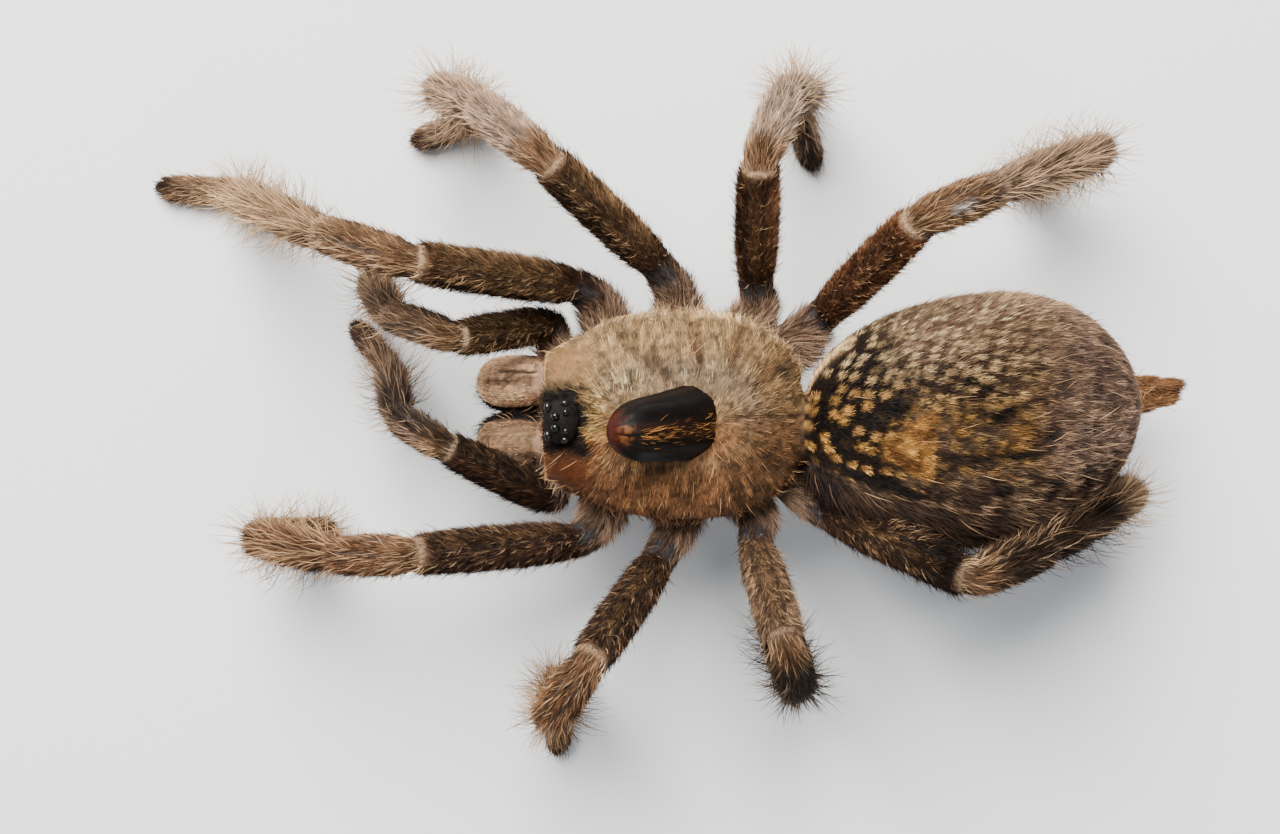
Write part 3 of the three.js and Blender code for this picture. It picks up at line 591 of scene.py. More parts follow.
def abdomen_coat(share, turn):
    """What grows on the abdomen, from the share along it and the turn from the middle of the back."""
    spots = abdomen_surface(share, turn)
    x = spots[..., 0]
    angle = turned(turn)
    across = angle * np.linalg.norm(spots[..., 1:] - ABDOMEN_MIDDLE[1:], axis=-1) + 0.6
    blotch, grain = cloud(spots, 1.1, 5), cloud(spots, 0.5, 6)
    near, bright = tufted(0.8 * (x - 0.2 * across), across + 0.2 * x, 0.5, 7)
    brown = mix(tone(72, 53, 42), tone(148, 119, 94), ramp(0.3, 0.7, 0.6 * blotch + 0.4 * grain))
    gap, lot = dots(0.8 * (x - 0.25 * across), across + 0.3 * x, 0.86, 2)
    ground = mix(tone(50, 37, 28), tone(112, 88, 70), ramp(4, 9, across))
    tuft = mix(tone(184, 146, 96), tone(230, 198, 158), ramp(2.0, 8.0, across))
    side_rows = mix(ground, tuft, ramp(0.4, 0.22, gap) * (0.65 + 0.35 * lot))
    gap, lot = dots(x - 0.25 * across, across + 0.2 * x, 1.04, 2)
    golden = mix(GOLD, CREAM, ramp(2.5, 6.0, across) + 0.35 * (lot - 0.3))
    front = mix(tone(30, 20, 12), golden, ramp(0.35, 0.22, gap) * ramp(0.02, 0.1, lot))
    in_front = ramp(21.5, 17.0, x + 0.15 * np.abs(across)) * ramp(-2.4, -1.4, across - 0.27 * (15 - x))
    middle = np.exp(-(((across - 0.6) / 2.2) ** 4)) * ramp(19, 21.5, x) * ramp(29.5, 26, x)
    half = 0.9 + 1.3 * ramp(17.1, 20.2, x)
    patch = ramp(16.6, 17.3, x) * ramp(20.8, 20.3, x) * ramp(half, half - 0.4, np.abs(across - 0.45))
    fleck = ramp(0.25, 0.75, grain) - 0.3 * ramp(0.2, -1.5, across)
    shade = laid(
        brown,
        (side_rows, ramp(32, 24, x) * ramp(0.5, 3.0, across)),
        (front, in_front),
        (mix(tone(44, 33, 23), tone(158, 118, 62), ramp(0.38, 0.22, gap)), 0.7 * middle),
        (tone(176, 130, 76), 0.6 * blot((x - 26.2) / 0.7, (across - 1.1) / 0.45)),
        (mix(tone(88, 58, 30), tone(174, 128, 70), fleck), patch),
    )
    for spot_x, spot_y, long, wide, slope in DARK_SPOTS:
        away = ((x - spot_x) / long) ** 2 + ((across - spot_y - slope * (x - spot_x)) / wide) ** 2
        shade = mix(shade, tone(24, 19, 15), 0.95 * ramp(1.4, 0.7, away + 0.6 * (grain - 0.5)))
    line = band(across, 0, 0.3 + 0.25 * ramp(23, 20.5, x)) * ramp(20.2, 20.8, x) * ramp(30.5, 27.5, x)
    # The dark middle line, then the left half of the back painted up to half as bright: painted shade on the
    # side away from the lamp.
    shade = mix(shade, tone(26, 20, 16), 0.95 * line) * (1 - 0.5 * ramp(0.0, -2.5, across))[..., None]
    left_side, right_side = ramp(-1.8, -3.8, across + 0.2 * (x - 16)), ramp(11, 15, across)
    shade = laid(
        shade,
        # Painted shade: the left flank near black.
        (mix(tone(24, 16, 11), tone(56, 38, 26), grain), 0.95 * left_side),
        # Painted light: the right flank paler.
        (tone(160, 130, 104), 0.5 * right_side),
        (tone(138, 116, 106), 0.4 * ramp(27, 31, x) * ramp(-3, 0, across)),
        (tone(60, 43, 31), 0.9 * ramp(1.9, 2.6, np.abs(angle))),
        (tone(34, 23, 17), ramp(16.0, 13.0, x) * ramp(0.5, -2, across)),
    )
    rear = ramp(0.92, 0.99, share)
    shade = laid(
        shade * (bright * (1 - 0.6 * patch) + 0.6 * patch)[..., None],
        (tone(206, 170, 126), 0.95 * band(angle, 1.5, 0.15) * ramp(15.6, 14.4, x)),
        (tone(140, 92, 52), 0.7 * rear),
    )
    ahead = abdomen_surface(np.clip(share + 0.02, 0, 1), turn) - abdomen_surface(share - 0.02, turn)
    lie = ahead / np.linalg.norm(ahead, axis=-1)[..., None] - rows(0, 0, 0.35 * np.abs(np.sin(angle)))
    behind = ramp(18, 27, x)
    length = 0.5 + 0.25 * behind + 1.0 * left_side + 0.4 * right_side + 0.5 * rear + 0.12 * near
    lift = 0.28 + 0.12 * rear + 0.08 * near + 0.25 * left_side
    often = 0.1 + 0.3 * behind + 2.8 * left_side + 1.6 * rear + 0.3 * right_side
    bristles = rows(2.0 + 1.4 * left_side + 0.8 * rear, 0.4 + 0.1 * rear, often)
    fur = rows(length, lift, 92 - 36 * left_side - 30 * right_side)
    return growth(spots, shade, lie, fur, bristles, unwrapped(share, turn, 1.0))


# %% [markdown]
# ## Markings of the limbs
# Each limb is darker on its thigh and golden further out, with a pale ring where a joint opens and two
# bare stripes on the back of the thigh and the knee. Long pale bristles stand out from its outer half.
# The palps are darker, and the two front left legs end in a warmer orange. Beyond the knee the left limbs
# are darker than the right ones, partly their own colour and partly painted shade on the side away from
# the lamp. The thighs of the right limbs but the hind leg are painted golden where they face the lamp and
# dark where they face away, as painted light and shade, and the left hind leg is painted darker where it
# runs under the abdomen, as painted shade.

# %% Limbs
# The number q and the tone there, then each limb's tone beyond the knee and on the thigh. Beyond the knee
# the left limbs' tones are darker than the right ones', partly painted shade on the side away from the lamp.
LIMB_TONES = np.array([
    (q, *tone(*shade)) for q, shade in (
        (0.0, (90, 66, 46)), (0.6, (172, 136, 108)), (1.3, (168, 132, 104)), (1.6, (112, 86, 66)),
        (1.95, (86, 64, 48)), (2.1, (98, 66, 38)), (2.8, (92, 62, 38)), (3.1, (138, 100, 64)),
        (3.8, (132, 96, 62)), (4.1, (142, 106, 72)), (5.0, (158, 122, 86)), (6.0, (160, 122, 86)),
        (6.6, (142, 104, 70)), (6.95, (60, 39, 27)),
    )
])
OUTER_TONES = {
    "leg1_left": (118, 78, 46), "leg2_left": (124, 82, 46), "leg3_left": (34, 25, 19),
    "leg4_left": (50, 34, 24), "leg1_right": (180, 140, 102), "leg2_right": (196, 160, 134),
    "leg3_right": (190, 160, 136), "leg4_right": (160, 130, 106), "palp_left": (82, 59, 42),
    "palp_right": (132, 102, 80),
}
THIGH_TONES = {
    "leg1_left": (86, 62, 50), "leg2_left": (72, 52, 38), "leg3_left": (130, 100, 72),
    "leg4_left": (52, 34, 22), "leg2_right": (110, 78, 54), "leg4_right": (160, 100, 56),
}


def limb_coat(limb, tube, place, turn):
    """What grows on a limb, from the place along it and the turn from its back."""
    palp, right = limb.startswith("palp"), limb.endswith("right")
    spots, out, run = tube.surface(place, turn)
    q = np.interp(place, tube.along, tube.q)
    q = np.where(q > 5, q + 1, q) if palp else q
    angle = np.abs(turned(turn))
    blotch, grain = cloud(spots, 0.9, 8), cloud(spots, 0.4, 9)
    _, bright = tufted(0.3 * place, 1.3 * angle + 0.3 * blotch, 0.24, 11)
    knee_ends = 3.6 if limb in ("leg1_right", "leg4_right") else 3.05
    shade = np.stack([np.interp(q, LIMB_TONES[:, 0], LIMB_TONES[:, k]) for k in (1, 2, 3)], -1)
    outer_share = 0.8 * ramp(knee_ends, knee_ends + 0.3, q) * ramp(6.9, 6.6, q)
    shade = mix(shade, tone(*OUTER_TONES[limb]), outer_share)
    if limb in THIGH_TONES:
        shade = mix(shade, tone(*THIGH_TONES[limb]), 0.85 * ramp(2.0, 2.2, q) * ramp(3.0, 2.9, q))
    if palp:
        dark = tone(104, 78, 46) if right else tone(58, 38, 26)
        shade = laid(
            shade,
            (dark, 0.8 * ramp(1.6, 2.2, q) * ramp(3.2, 2.9, q)),
            (tone(62, 40, 28), 0.85 * ramp(6.05, 6.35, q)),
        )
    if limb == "palp_left":
        inside = ramp(-0.2, 0.5, out[..., 1]) * ramp(1.9, 2.1, q) * ramp(4.7, 4.2, q)
        shade = laid(
            shade,
            (tone(140, 110, 92), 0.7 * ramp(3.1, 3.3, q) * ramp(6.9, 6.2, q)),
            (tone(22, 15, 11), 0.8 * inside),
        )
    under = ramp(1.2, 2.1, angle) * ramp(6.2, 5.2, q)
    shade = mix(shade, tone(44, 29, 19), (0.8 - 0.3 * ramp(3, 4.5, q)) * under * ramp(0.9, 1.4, q))
    thigh = ramp(2.12, 2.22, q) * ramp(2.9, 2.8, q)
    # Painted light and shade: on the right limbs but the hind leg the thigh is golden where it faces the
    # lamp's side and dark where it faces away; the second right leg's is painted lighter still.
    if right and limb != "leg4_right":
        warm = limb == "leg3_right"
        facing = out @ ((0.8, 0.0, 0.6) if warm else (-0.1, 0.8, 0.6))
        flank = mix(tone(84, 50, 30) if warm else tone(56, 38, 26),
                    tone(170, 112, 68) if warm else tone(146, 110, 70), ramp(-0.5, 0.5, facing))
        if limb == "leg2_right":
            flank = 1.35 * flank
        shade = mix(shade, flank, 0.8 * thigh * (0.4 if palp else 1))
    shade = laid(
        shade,
        (tone(150, 112, 70), 0.45 * thigh * ramp(0.85, 1.15, bright) * ramp(1.5, 0.8, angle)),
        (tone(140, 104, 62), (0.2 if palp else 0.5) * thigh * band(angle, 0, 0.28)),
    )
    shade = mix(shade, 0.6 * shade, ramp(0.5, 0.85, blotch)) * bright[..., None]
    knee = ramp(3.1, 3.2, q) * ramp(3.9, 3.78, q)
    shin = 0.6 * ramp(4.08, 4.15, q) * ramp(4.7, 4.3, q)
    stripe = band(angle, 0.46, 0.17 - 0.08 * (knee + shin)) * (0.8 * thigh + 0.9 * (knee + shin))
    bare_tone = mix(tone(40, 29, 23), tone(88, 78, 72), knee + shin)
    socket = 0.9 * band(angle, 0.45, 0.3) * ramp(1.35, 1.55, q) * ramp(2.1, 2.0, q)
    bare_tone = mix(bare_tone, tone(74, 74, 78), ramp(2.2, 2.0, q))
    bare = np.clip(stripe + socket, 0, 1)
    shade = mix(shade, bare_tone, bare)
    if limb == "leg4_right":
        aside = turned(turn) + 0.25
        window = blot((q - 3.36) / 0.16, aside / 0.3, 4)
        slit = np.exp(-(((q - 3.66) / 0.2) ** 4 + ((aside + 0.1) / 0.14) ** 2))
        shade = laid(shade, (tone(158, 148, 146), 0.9 * window), (tone(38, 29, 25), 0.9 * slit))
        bare = np.maximum(bare, window)
    ring = np.maximum(band(q, 2.98, 0.01), 0.8 * band(q, 3.975, 0.013)) * ramp(2.6, 1.8, angle)
    ring = np.maximum(ring, 0.5 * band(q, 4.97, 0.012))
    shade = mix(shade, tone(222, 182, 138), (0.85 if right else 0.6) * ring)
    # The left hind leg runs under the abdomen: from the end of its thigh through the patella and most of the
    # tibia it is painted darker, as painted shade.
    if limb == "leg4_left":
        shade = mix(shade, 0.3 * shade, ramp(2.5, 2.8, q) * ramp(3.1, 2.9, q))
        shade = mix(shade, 0.5 * shade, ramp(3.0, 3.12, q) * ramp(4.85, 4.55, q))
        shade = mix(shade, tone(134, 106, 76), 0.75 * ramp(4.55, 4.85, q) * ramp(6.95, 6.8, q))
    if limb == "leg3_left":
        shade = mix(shade, 0.6 * shade, ramp(2.85, 3.0, q))
    pad = ramp(6.1, 6.3, q) * ramp(1.9, 2.4, angle)
    shade = mix(shade, tone(54, 44, 38), 0.85 * pad)
    shade = mix(shade, rows(*[shade.mean(-1)] * 3), 0.2)
    foot, outer = ramp(6.0, 6.2, q), ramp(3.6, 4.4, q)
    lie = run + 0.2 * out * foot[..., None] + 0.12 * (grain - 0.5)[..., None] * tube.side[0]
    base = ramp(1.5, 1.1, q) * ramp(2.2, 1.5, angle)
    wide_base = 0.6
    if limb.startswith("leg4"):
        wide_base = 1.3
        lie = lie + 0.8 * base[..., None] * np.array([0.5, -0.85 if right else 0.85, 0.0])
    if palp:
        wide_base = 1.0
        lie = lie - base[..., None] * [1.2, 0, 0]
    length = (1.1 + 0.3 * outer * (1 - foot) - 0.3 * foot + wide_base * base) * (1 - 0.5 * bare)
    length = length * (1 - 0.75 * np.clip(ring + band(q, 2.945, 0.03) + 0.8 * band(q, 3.93, 0.04), 0, 1))
    lift = 0.34 + 0.1 * outer + 0.08 * thigh + 0.15 * pad + 0.2 * base
    many = 64 * (1 - 0.85 * bare) * (1 - 0.3 * ring) + 30 * pad
    reach = 1.3 + 2.5 * outer * (1 - foot)
    often = (3.4 + 0.4 * outer) * ramp(1.6, 2.2, q)
    if limb == "leg4_left":
        often = often + 14 * ramp(2.2, 2.5, q) * ramp(4.4, 4.0, q) * ramp(0.2, 0.7, np.sin(turn))
    bristles = rows(reach, 0.7 + 0.25 * outer, often)
    unwrap = unwrapped(place / tube.along[-1], turn, 3.0 + list(limbs).index(limb))
    return growth(spots, shade, lie, rows(length, lift, many), bristles, unwrap)


# %% [markdown]
# ## Markings of the small parts
# The jaws are pinkish tan with dark bare stripes along them, the plate below is dark brown, the soft wall
# between shell and legs is a lighter brown, and the spinnerets are orange brown. The small parts share one
# unwrap, each in its own strip of it.

# %% Jaws, plate, spinnerets
def jaw_coat(mirror, tube, place, turn):
    """What grows on a jaw: three dark stripes along its top, black on its inner side, a pale strip at its
    root, and hairs that lie forwards."""
    spots, out, run = tube.surface(place, turn)
    right, share = mirror > 0, place / tube.along[-1]
    angle = turned(turn) * -mirror
    top = ramp(1.7, 1.4, np.abs(angle))
    grain = cloud(spots, 0.35, 12)
    _, bright = tufted(0.7 * place, 1.9 * angle, 0.34, 13)
    shade = mix(tone(190, 150, 118), tone(212, 172, 136), grain) * bright[..., None]
    shade = mix(shade, tone(150, 116, 94), 0.7 * band(angle, 1.1, 0.4))
    # Painted light and shade: the top of the right jaw is painted up to 1.7 times as bright and that of the
    # left about half as bright.
    shade = shade * (1 + (0.7 if right else -0.46) * ramp(1.8, 1.1, np.abs(angle)))[..., None]
    # The outer half of the right jaw is painted brighter still: painted light over the shadow that the right
    # palp casts on it.
    if right:
        shade = shade * (1 + 0.7 * ramp(0.0, 0.7, angle))[..., None]
    first = 0.05 if right else 0.42
    stripe = band(angle, first, 0.12) * ramp(0.8, 0.7, share)
    stripe = stripe + band(angle, first + 0.42, 0.1) * ramp(0.62, 0.5, share)
    stripe = np.clip(stripe + 0.8 * band(angle, first + 0.21, 0.05) * ramp(0.5, 0.4, share), 0, 1)
    strip = ramp(0.075, 0.045, share) * top
    shade = laid(
        shade,
        (tone(28, 22, 20), stripe * (1 if right else 0.6)),
        (BLACK, ramp(-1.0, -1.2, angle) * ramp(-2.9, -2.2, angle) * ramp(1.02, 0.97, share)),
        (tone(188, 154, 130), 0.85 * strip),
        (tone(54, 38, 30), 0.75 * band(share, 0.1, 0.02) * top),
        (tone(74, 48, 34), ramp(1.6, 2.4, np.abs(angle))),
    )
    inner = ramp(-1.1, -1.5, angle) * ramp(-2.6, -2.2, angle)
    fur = rows(0.44 - 0.15 * strip + 0.3 * inner, 0.2 + 0.5 * inner, 110 * (1 - stripe))
    bristles = rows(1.1 + 0.3 * ramp(0.8, 0.9, share), 0.7, 0.3 + 14 * inner)
    unwrap = rows(share, 0.5 * (turn / (2 * np.pi) % 1) + (0.5 if right else 0), 2.0)
    return growth(spots, shade, run + 0.25 * out, fur, bristles, unwrap)


def small_coat(row, tube, tones, fur, place, turn):
    """What grows on a small tube: one tone, mottled, and hairs that follow it; its unwrap is one row."""
    spots, out, run = tube.surface(place, turn)
    shade = mix(tones[0], tones[1], cloud(spots, 0.4, 14))
    unwrap = rows(place / tube.along[-1], 0.7 + 0.05 * row + 0.045 * (turn / (2 * np.pi) % 1), 13.0)
    return growth(spots, shade, run + 0.3 * out, fur, (1.6, 0.5, 0.5), unwrap)


def plate_coat(x, turn):
    """What grows on the plate under the body: short dark hairs that lie backwards."""
    spots = flat_egg(PLATE, x, turn)
    shade = mix(tone(50, 35, 26), BARK, cloud(spots, 0.8, 15))
    unwrap = rows((x + 4.6) / 16.2, 0.4 * (turn / (2 * np.pi) % 1), 13.0)
    return growth(spots, shade, (1.0, 0.0, 0.0), (0.9, 0.3, 40.0), (1.8, 0.6, 0.5), unwrap)


def membrane_coat(x, turn):
    """What grows on the soft wall under the shell: short brown hairs that hang down."""
    spots = flat_egg(MEMBRANE, x, turn)
    shade = mix(tone(88, 66, 50), tone(132, 102, 78), cloud(spots, 0.7, 16))
    unwrap = rows((x + 7.1) / 18.2, 0.42 + 0.26 * (turn / (2 * np.pi) % 1), 13.0)
    return growth(spots, shade, (0.3, 0.0, -1.0), (0.7, 0.3, 55.0), (1.4, 0.5, 0.5), unwrap)


# %% [markdown]
# ## Melting the parts together
# Blender's remesher fills space with small cubes and keeps the outer wall, so that the legs grow out of
# the body with no seam, and a few rounds of smoothing take the steps out. A small node group then asks,
# for every spot of the skin, which spot of the parts lies nearest, and copies what grows there.

# %% Closed grids
RING = 28
CHANNELS = 18
VALUES = {"shade": (3, 6), "lie": (6, 9), "fur": (9, 12), "bristle": (12, 15), "unwrap": (15, 18)}
KEPT = {"where": (3, 6), "part": (6, 9)}


def closed_grid(grid):
    """Spots and triangles of a tube given as rings: two triangles a cell, and a fan over each end."""
    rings, count = grid.shape[:2]
    spots = np.concatenate([grid.reshape(-1, grid.shape[2]), grid[:1].mean(1), grid[-1:].mean(1)])
    ring = np.arange(count)
    after = (ring + 1) % count
    starts = count * np.arange(rings - 1)[:, None]
    a, b = starts + ring, starts + after
    walls = np.stack([a, b, b + count, a, b + count, a + count], -1).reshape(-1, 3)
    last = count * (rings - 1)
    front = np.stack([after, ring, 0 * ring + rings * count], -1)
    back = np.stack([last + ring, last + after, 0 * ring + rings * count + 1], -1)
    faces = np.concatenate([walls, front, back])
    a, b, c = (spots[faces[:, k], :3] for k in range(3))
    return spots, faces if (a * np.cross(b, c)).sum() > 0 else faces[:, ::-1]


def joined(parts):
    """Several closed shapes as one list of spots and one of faces, each shape's faces counted on."""
    starts = np.cumsum([0] + [len(spots) for spots, _ in parts[:-1]])
    return (
        np.concatenate([spots for spots, _ in parts]),
        np.concatenate([faces + start for (_, faces), start in zip(parts, starts)]),
    )


def grid_of(surface, places, ring):
    """A surface worked out at each place and at evenly spaced turns."""
    return surface(*np.meshgrid(places, np.linspace(0, 2 * np.pi, ring, endpoint=False), indexing="ij"))


def part_grid(number, coat, places, ring):
    """A part's surface, and at each spot of it the place along it, the turn as a cosine and a sine, and
    the part's number."""
    return grid_of(lambda place, turn: np.concatenate([
        coat(place, turn)[..., :3], rows(place, np.cos(turn), np.sin(turn)), rows(number, 0, 0 * place)
    ], -1), places, ring)


def bunched(low, high, count):
    """Places from low to high, closer together near both ends."""
    return low + (high - low) * (1 - np.cos(np.linspace(0, np.pi, count))) / 2


def make_mesh(name, points, faces, smooth=True):
    """An object at the frame's origin, from points in millimetres and faces that all have as many corners."""
    mesh = bpy.data.meshes.new(name)
    mesh.vertices.add(len(points))
    mesh.vertices.foreach_set("co", to_frame(points).astype(np.float32).ravel())
    mesh.loops.add(faces.size)
    mesh.loops.foreach_set("vertex_index", faces.astype(np.int32).ravel())
    mesh.polygons.add(len(faces))
    mesh.polygons.foreach_set("loop_start", np.arange(0, faces.size, faces.shape[1], dtype=np.int32))
    mesh.update(calc_edges=True)
    mesh.polygons.foreach_set("use_smooth", np.full(len(faces), smooth))
    piece = bpy.data.objects.new(name, mesh)
    bpy.context.scene.collection.objects.link(piece)
    return piece


def read_all(items, name, kind=np.float32):
    """Three numbers for each item of a mesh, as rows."""
    values = np.empty(3 * len(items), kind)
    items.foreach_get(name, values)
    return values.reshape(-1, 3)


def store(mesh, name, values):
    """Keeps an arrow or three numbers for each spot of a mesh."""
    slot = mesh.attributes.new(name, "FLOAT_VECTOR", "POINT")
    slot.data.foreach_set("vector", values.astype(np.float32).ravel())


def paint(piece, shades):
    """Keeps a colour for each spot of a piece, for its material to read."""
    layer = piece.data.color_attributes.new("tone", "FLOAT_COLOR", "POINT")
    whole = np.column_stack([shades, np.ones(len(shades))])
    layer.data.foreach_set("color", whole.astype(np.float32).ravel())


SPINNERET_MOUND = Tube([(33.0, 1.0, 8.5), (36.2, 1.0, 8.5)], ((0, 1.2, 1.2), (0.5, 2.0, 1.25), (1, 0.9, 0.7)))
BROWN_PAIR = (tone(84, 62, 46), tone(120, 92, 68))
ORANGE_PAIR = (tone(50, 35, 25), tone(152, 110, 76))
coats = []
for limb, tube in limbs.items():
    coats.append((tube.along, RING, lambda p, t, n=limb, c=tube: limb_coat(n, c, p, t)))
for side, mirror in MIRRORS:
    coats.append((jaws[side].along, RING, lambda p, t, m=mirror, c=jaws[side]: jaw_coat(m, c, p, t)))
for row, tube in enumerate((SPINNERET_MOUND, *spinnerets.values())):
    coats.append((tube.along, RING, lambda p, t, r=row, c=tube: (
        small_coat(r, c, ORANGE_PAIR, (0.9, 0.25, 70), p, t))))
coats += [
    (waist.along, RING, lambda p, t: small_coat(5, waist, BROWN_PAIR, (0.8, 0.3, 40), p, t)),
    (bunched(SHELL_ROWS[0, 0] + 0.3, SHELL_ROWS[-1, 0] - 0.3, 100), 150, shell_coat),
    (np.linspace(0.03, 0.97, 100), 130, abdomen_coat),
    (bunched(-4.4, 11.4, 40), 48, plate_coat),
    (bunched(-7.0, 11.0, 50), 64, membrane_coat),
]
shapes = [closed_grid(part_grid(k, coat, places, ring)) for k, (places, ring, coat) in enumerate(coats)]
print(len(shapes), "closed shapes,", sum(len(faces) for _, faces in shapes), "triangles")

# %% Melt and sample
VOXEL = 0.3
SMOOTH_ROUNDS = 4
PAD_HEIGHT = 0.04


def nearest_values(source):
    """A node group: for every spot, the values that the nearest spot of the source's surface carries."""
    tree = bpy.data.node_groups.new("nearest values", "GeometryNodeTree")
    for way in ("INPUT", "OUTPUT"):
        tree.interface.new_socket("Geometry", in_out=way, socket_type="NodeSocketGeometry")
    add, link = tree.nodes.new, tree.links.new
    flow = add("NodeGroupInput").outputs["Geometry"]
    parts = add("GeometryNodeObjectInfo")
    parts.inputs["Object"].default_value = source
    for name in KEPT:
        read, near, keep = (add("GeometryNode" + kind) for kind in (
            "InputNamedAttribute", "SampleNearestSurface", "StoreNamedAttribute"))
        read.data_type = near.data_type = keep.data_type = "FLOAT_VECTOR"
        keep.domain = "POINT"
        read.inputs["Name"].default_value = keep.inputs["Name"].default_value = name
        link(parts.outputs["Geometry"], near.inputs["Mesh"])
        link(read.outputs["Attribute"], near.inputs["Value"])
        link(near.outputs["Value"], keep.inputs["Value"])
        link(flow, keep.inputs["Geometry"])
        flow = keep.outputs["Geometry"]
    link(flow, add("NodeGroupOutput").inputs["Geometry"])
    return tree


def melted(name, parts):
    """The parts joined, remeshed with small cubes, smoothed, and given the values of the nearest part."""
    spots, faces = joined(parts)
    source = make_mesh("parts", spots[:, :3], faces)
    for value, (start, end) in KEPT.items():
        store(source.data, value, spots[:, start:end])
    piece = make_mesh(name, spots[:, :3], faces)
    remesh = piece.modifiers.new("melt", "REMESH")
    remesh.mode, remesh.voxel_size = "VOXEL", VOXEL * MM
    smooth = piece.modifiers.new("smooth", "SMOOTH")
    smooth.factor, smooth.iterations = 0.5, SMOOTH_ROUNDS
    sample = piece.modifiers.new("sample", "NODES")
    sample.node_group = nearest_values(source)
    mesh = bpy.data.meshes.new_from_object(piece.evaluated_get(bpy.context.evaluated_depsgraph_get()))
    piece.modifiers.clear()
    rough, piece.data = piece.data, mesh
    bpy.data.meshes.remove(rough)
    bpy.data.node_groups.remove(bpy.data.node_groups["nearest values"])
    bpy.data.meshes.remove(source.data)
    mesh.name = name
    mesh.polygons.foreach_set("use_smooth", np.full(len(mesh.polygons), True))
    places = read_all(mesh.vertices, "co")
    places[:, 2] = np.maximum(places[:, 2], PAD_HEIGHT * MM)
    mesh.vertices.foreach_set("co", places.ravel())
    return piece


skin = melted("skin", shapes)
SOFT_NODES = [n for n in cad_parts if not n.startswith(("eye", "horn", "fang"))]
where, part = (read_all(skin.data.attributes[name].data, "vector").astype(float) for name in KEPT)
part = np.rint(part[:, 0])
for name in KEPT:
    skin.data.attributes.remove(skin.data.attributes[name])


def what_grows(part, where):
    """All that grows at spots of the skin: each part works it out from the place and the turn on it."""
    values, turn = np.zeros((len(part), CHANNELS)), np.arctan2(where[:, 2], where[:, 1])
    for number, (_, _, coat) in enumerate(coats):
        mine = part == number
        if mine.any():
            values[mine] = coat(where[mine, 0], turn[mine])
    return {name: values[:, start:end] for name, (start, end) in VALUES.items()}


grown = what_grows(part, where)
# The skin under the coat is painted at half the tone of its hairs so that the gaps between hairs look dark:
# painted shade.
paint(skin, np.clip(0.5 * grown["shade"], 0, 1))
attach(skin, "root")
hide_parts(*SOFT_NODES)
print("skin:", len(skin.data.polygons), "faces in place of", len(SOFT_NODES), "solids")

# %% [markdown]
# ## The horn
# The horn stands on the middle of the shell and leans forwards. It is bare and hard: nearly black,
# softly shiny, reddish and worn at its blunt tip, with low ridges that run along it and a shallow trough
# on its back where a few golden hairs lie. A ring is carried along a bent line, and each ring's radius
# swells and dips with the turn to make the ridges.

# %% Horn, eyes and fangs
def bow_line(start, middle, end, share):
    """Places on a bent line with three handles, and the arrow along it."""
    s = np.asarray(share)[..., None]
    start, middle, end = (np.array(p, float) for p in (start, middle, end))
    at = (1 - s) ** 2 * start + 2 * s * (1 - s) * middle + s**2 * end
    run = 2 * (1 - s) * (middle - start) + 2 * s * (end - middle)
    return at, run / np.linalg.norm(run, axis=-1)[..., None]


HORN_FOOT, HORN_TIP = np.array([3.9, -0.2, 16.9]), np.array([-2.1, -0.7, 22.75])
HORN_HALF = (2.74, 2.44)


def horn_coat(share, turn):
    """Rings across the bent line; the radius shrinks towards the tip, with seven ridges and a trough."""
    middle = (HORN_FOOT + HORN_TIP) / 2 + np.array([0.45, -0.2, 1.15])
    at, run = bow_line(HORN_FOOT, middle, HORN_TIP, share)
    up = np.cross([0.0, 1.0, 0.0], run)
    up /= np.linalg.norm(up, axis=-1)[..., None]
    taper = (1 - 0.3 * share) * np.sqrt(1 - 0.94 * np.clip((share - 0.68) / 0.32, 0, 1) ** 2.1)
    back = turned(turn - np.pi / 2)
    fine = cloud(rows(7 * np.cos(turn), 7 * np.sin(turn), 1.6 * share), 1.0, 21)
    trough = band(back, 0.1, 0.3) * ramp(0.95, 0.7, share)
    swell = taper * (1 + 0.018 * np.cos(9 * back) + 0.03 * (fine - 0.5) - 0.055 * trough)
    pits = band(share, 0.93, 0.035) * (band(back, 0.85, 0.22) + band(back, -0.75, 0.22))
    swell = swell * (1 - 0.07 * pits)
    swell = swell * (1 - 0.2 * np.clip(np.sin(turn), 0, 1) ** 2 * ramp(0.9, 0.3, share))
    spots = at + rows(0.0, HORN_HALF[0], 0.0) * (swell * np.cos(turn))[..., None]
    spots = spots + up * (HORN_HALF[1] * swell * np.sin(turn))[..., None]
    grain = cloud(spots, 0.24, 23)
    worn = ramp(0.3, 0.6, grain) * ramp(0.35, 0.7, fine) * ramp(1.0, 0.4, np.abs(back))
    worn = worn * ramp(0.84, 0.9, share) * ramp(0.99, 0.94, share)
    shade = laid(
        tone(10, 8, 7),
        (tone(38, 24, 15), ramp(0.5, 0.9, fine) * 0.5 + 0.4 * trough),
        (tone(50, 22, 14), ramp(0.88, 0.97, share + 0.1 * (fine - 0.5))),
        (tone(100, 66, 38), 0.55 * worn),
    ) * (0.75 + 0.5 * grain)[..., None]
    shade = mix(shade, tone(34, 14, 10), np.clip(pits, 0, 1))
    return np.concatenate([spots, shade], -1)


def egg(middle, half, share, turn):
    """An egg: rings whose size follows the sine of a half turn, stacked upwards by its cosine."""
    level = np.pi * share
    ring = rows(np.sin(level) * np.cos(turn), np.sin(level) * np.sin(turn), -np.cos(level))
    return np.array(middle) + np.array(half) * ring


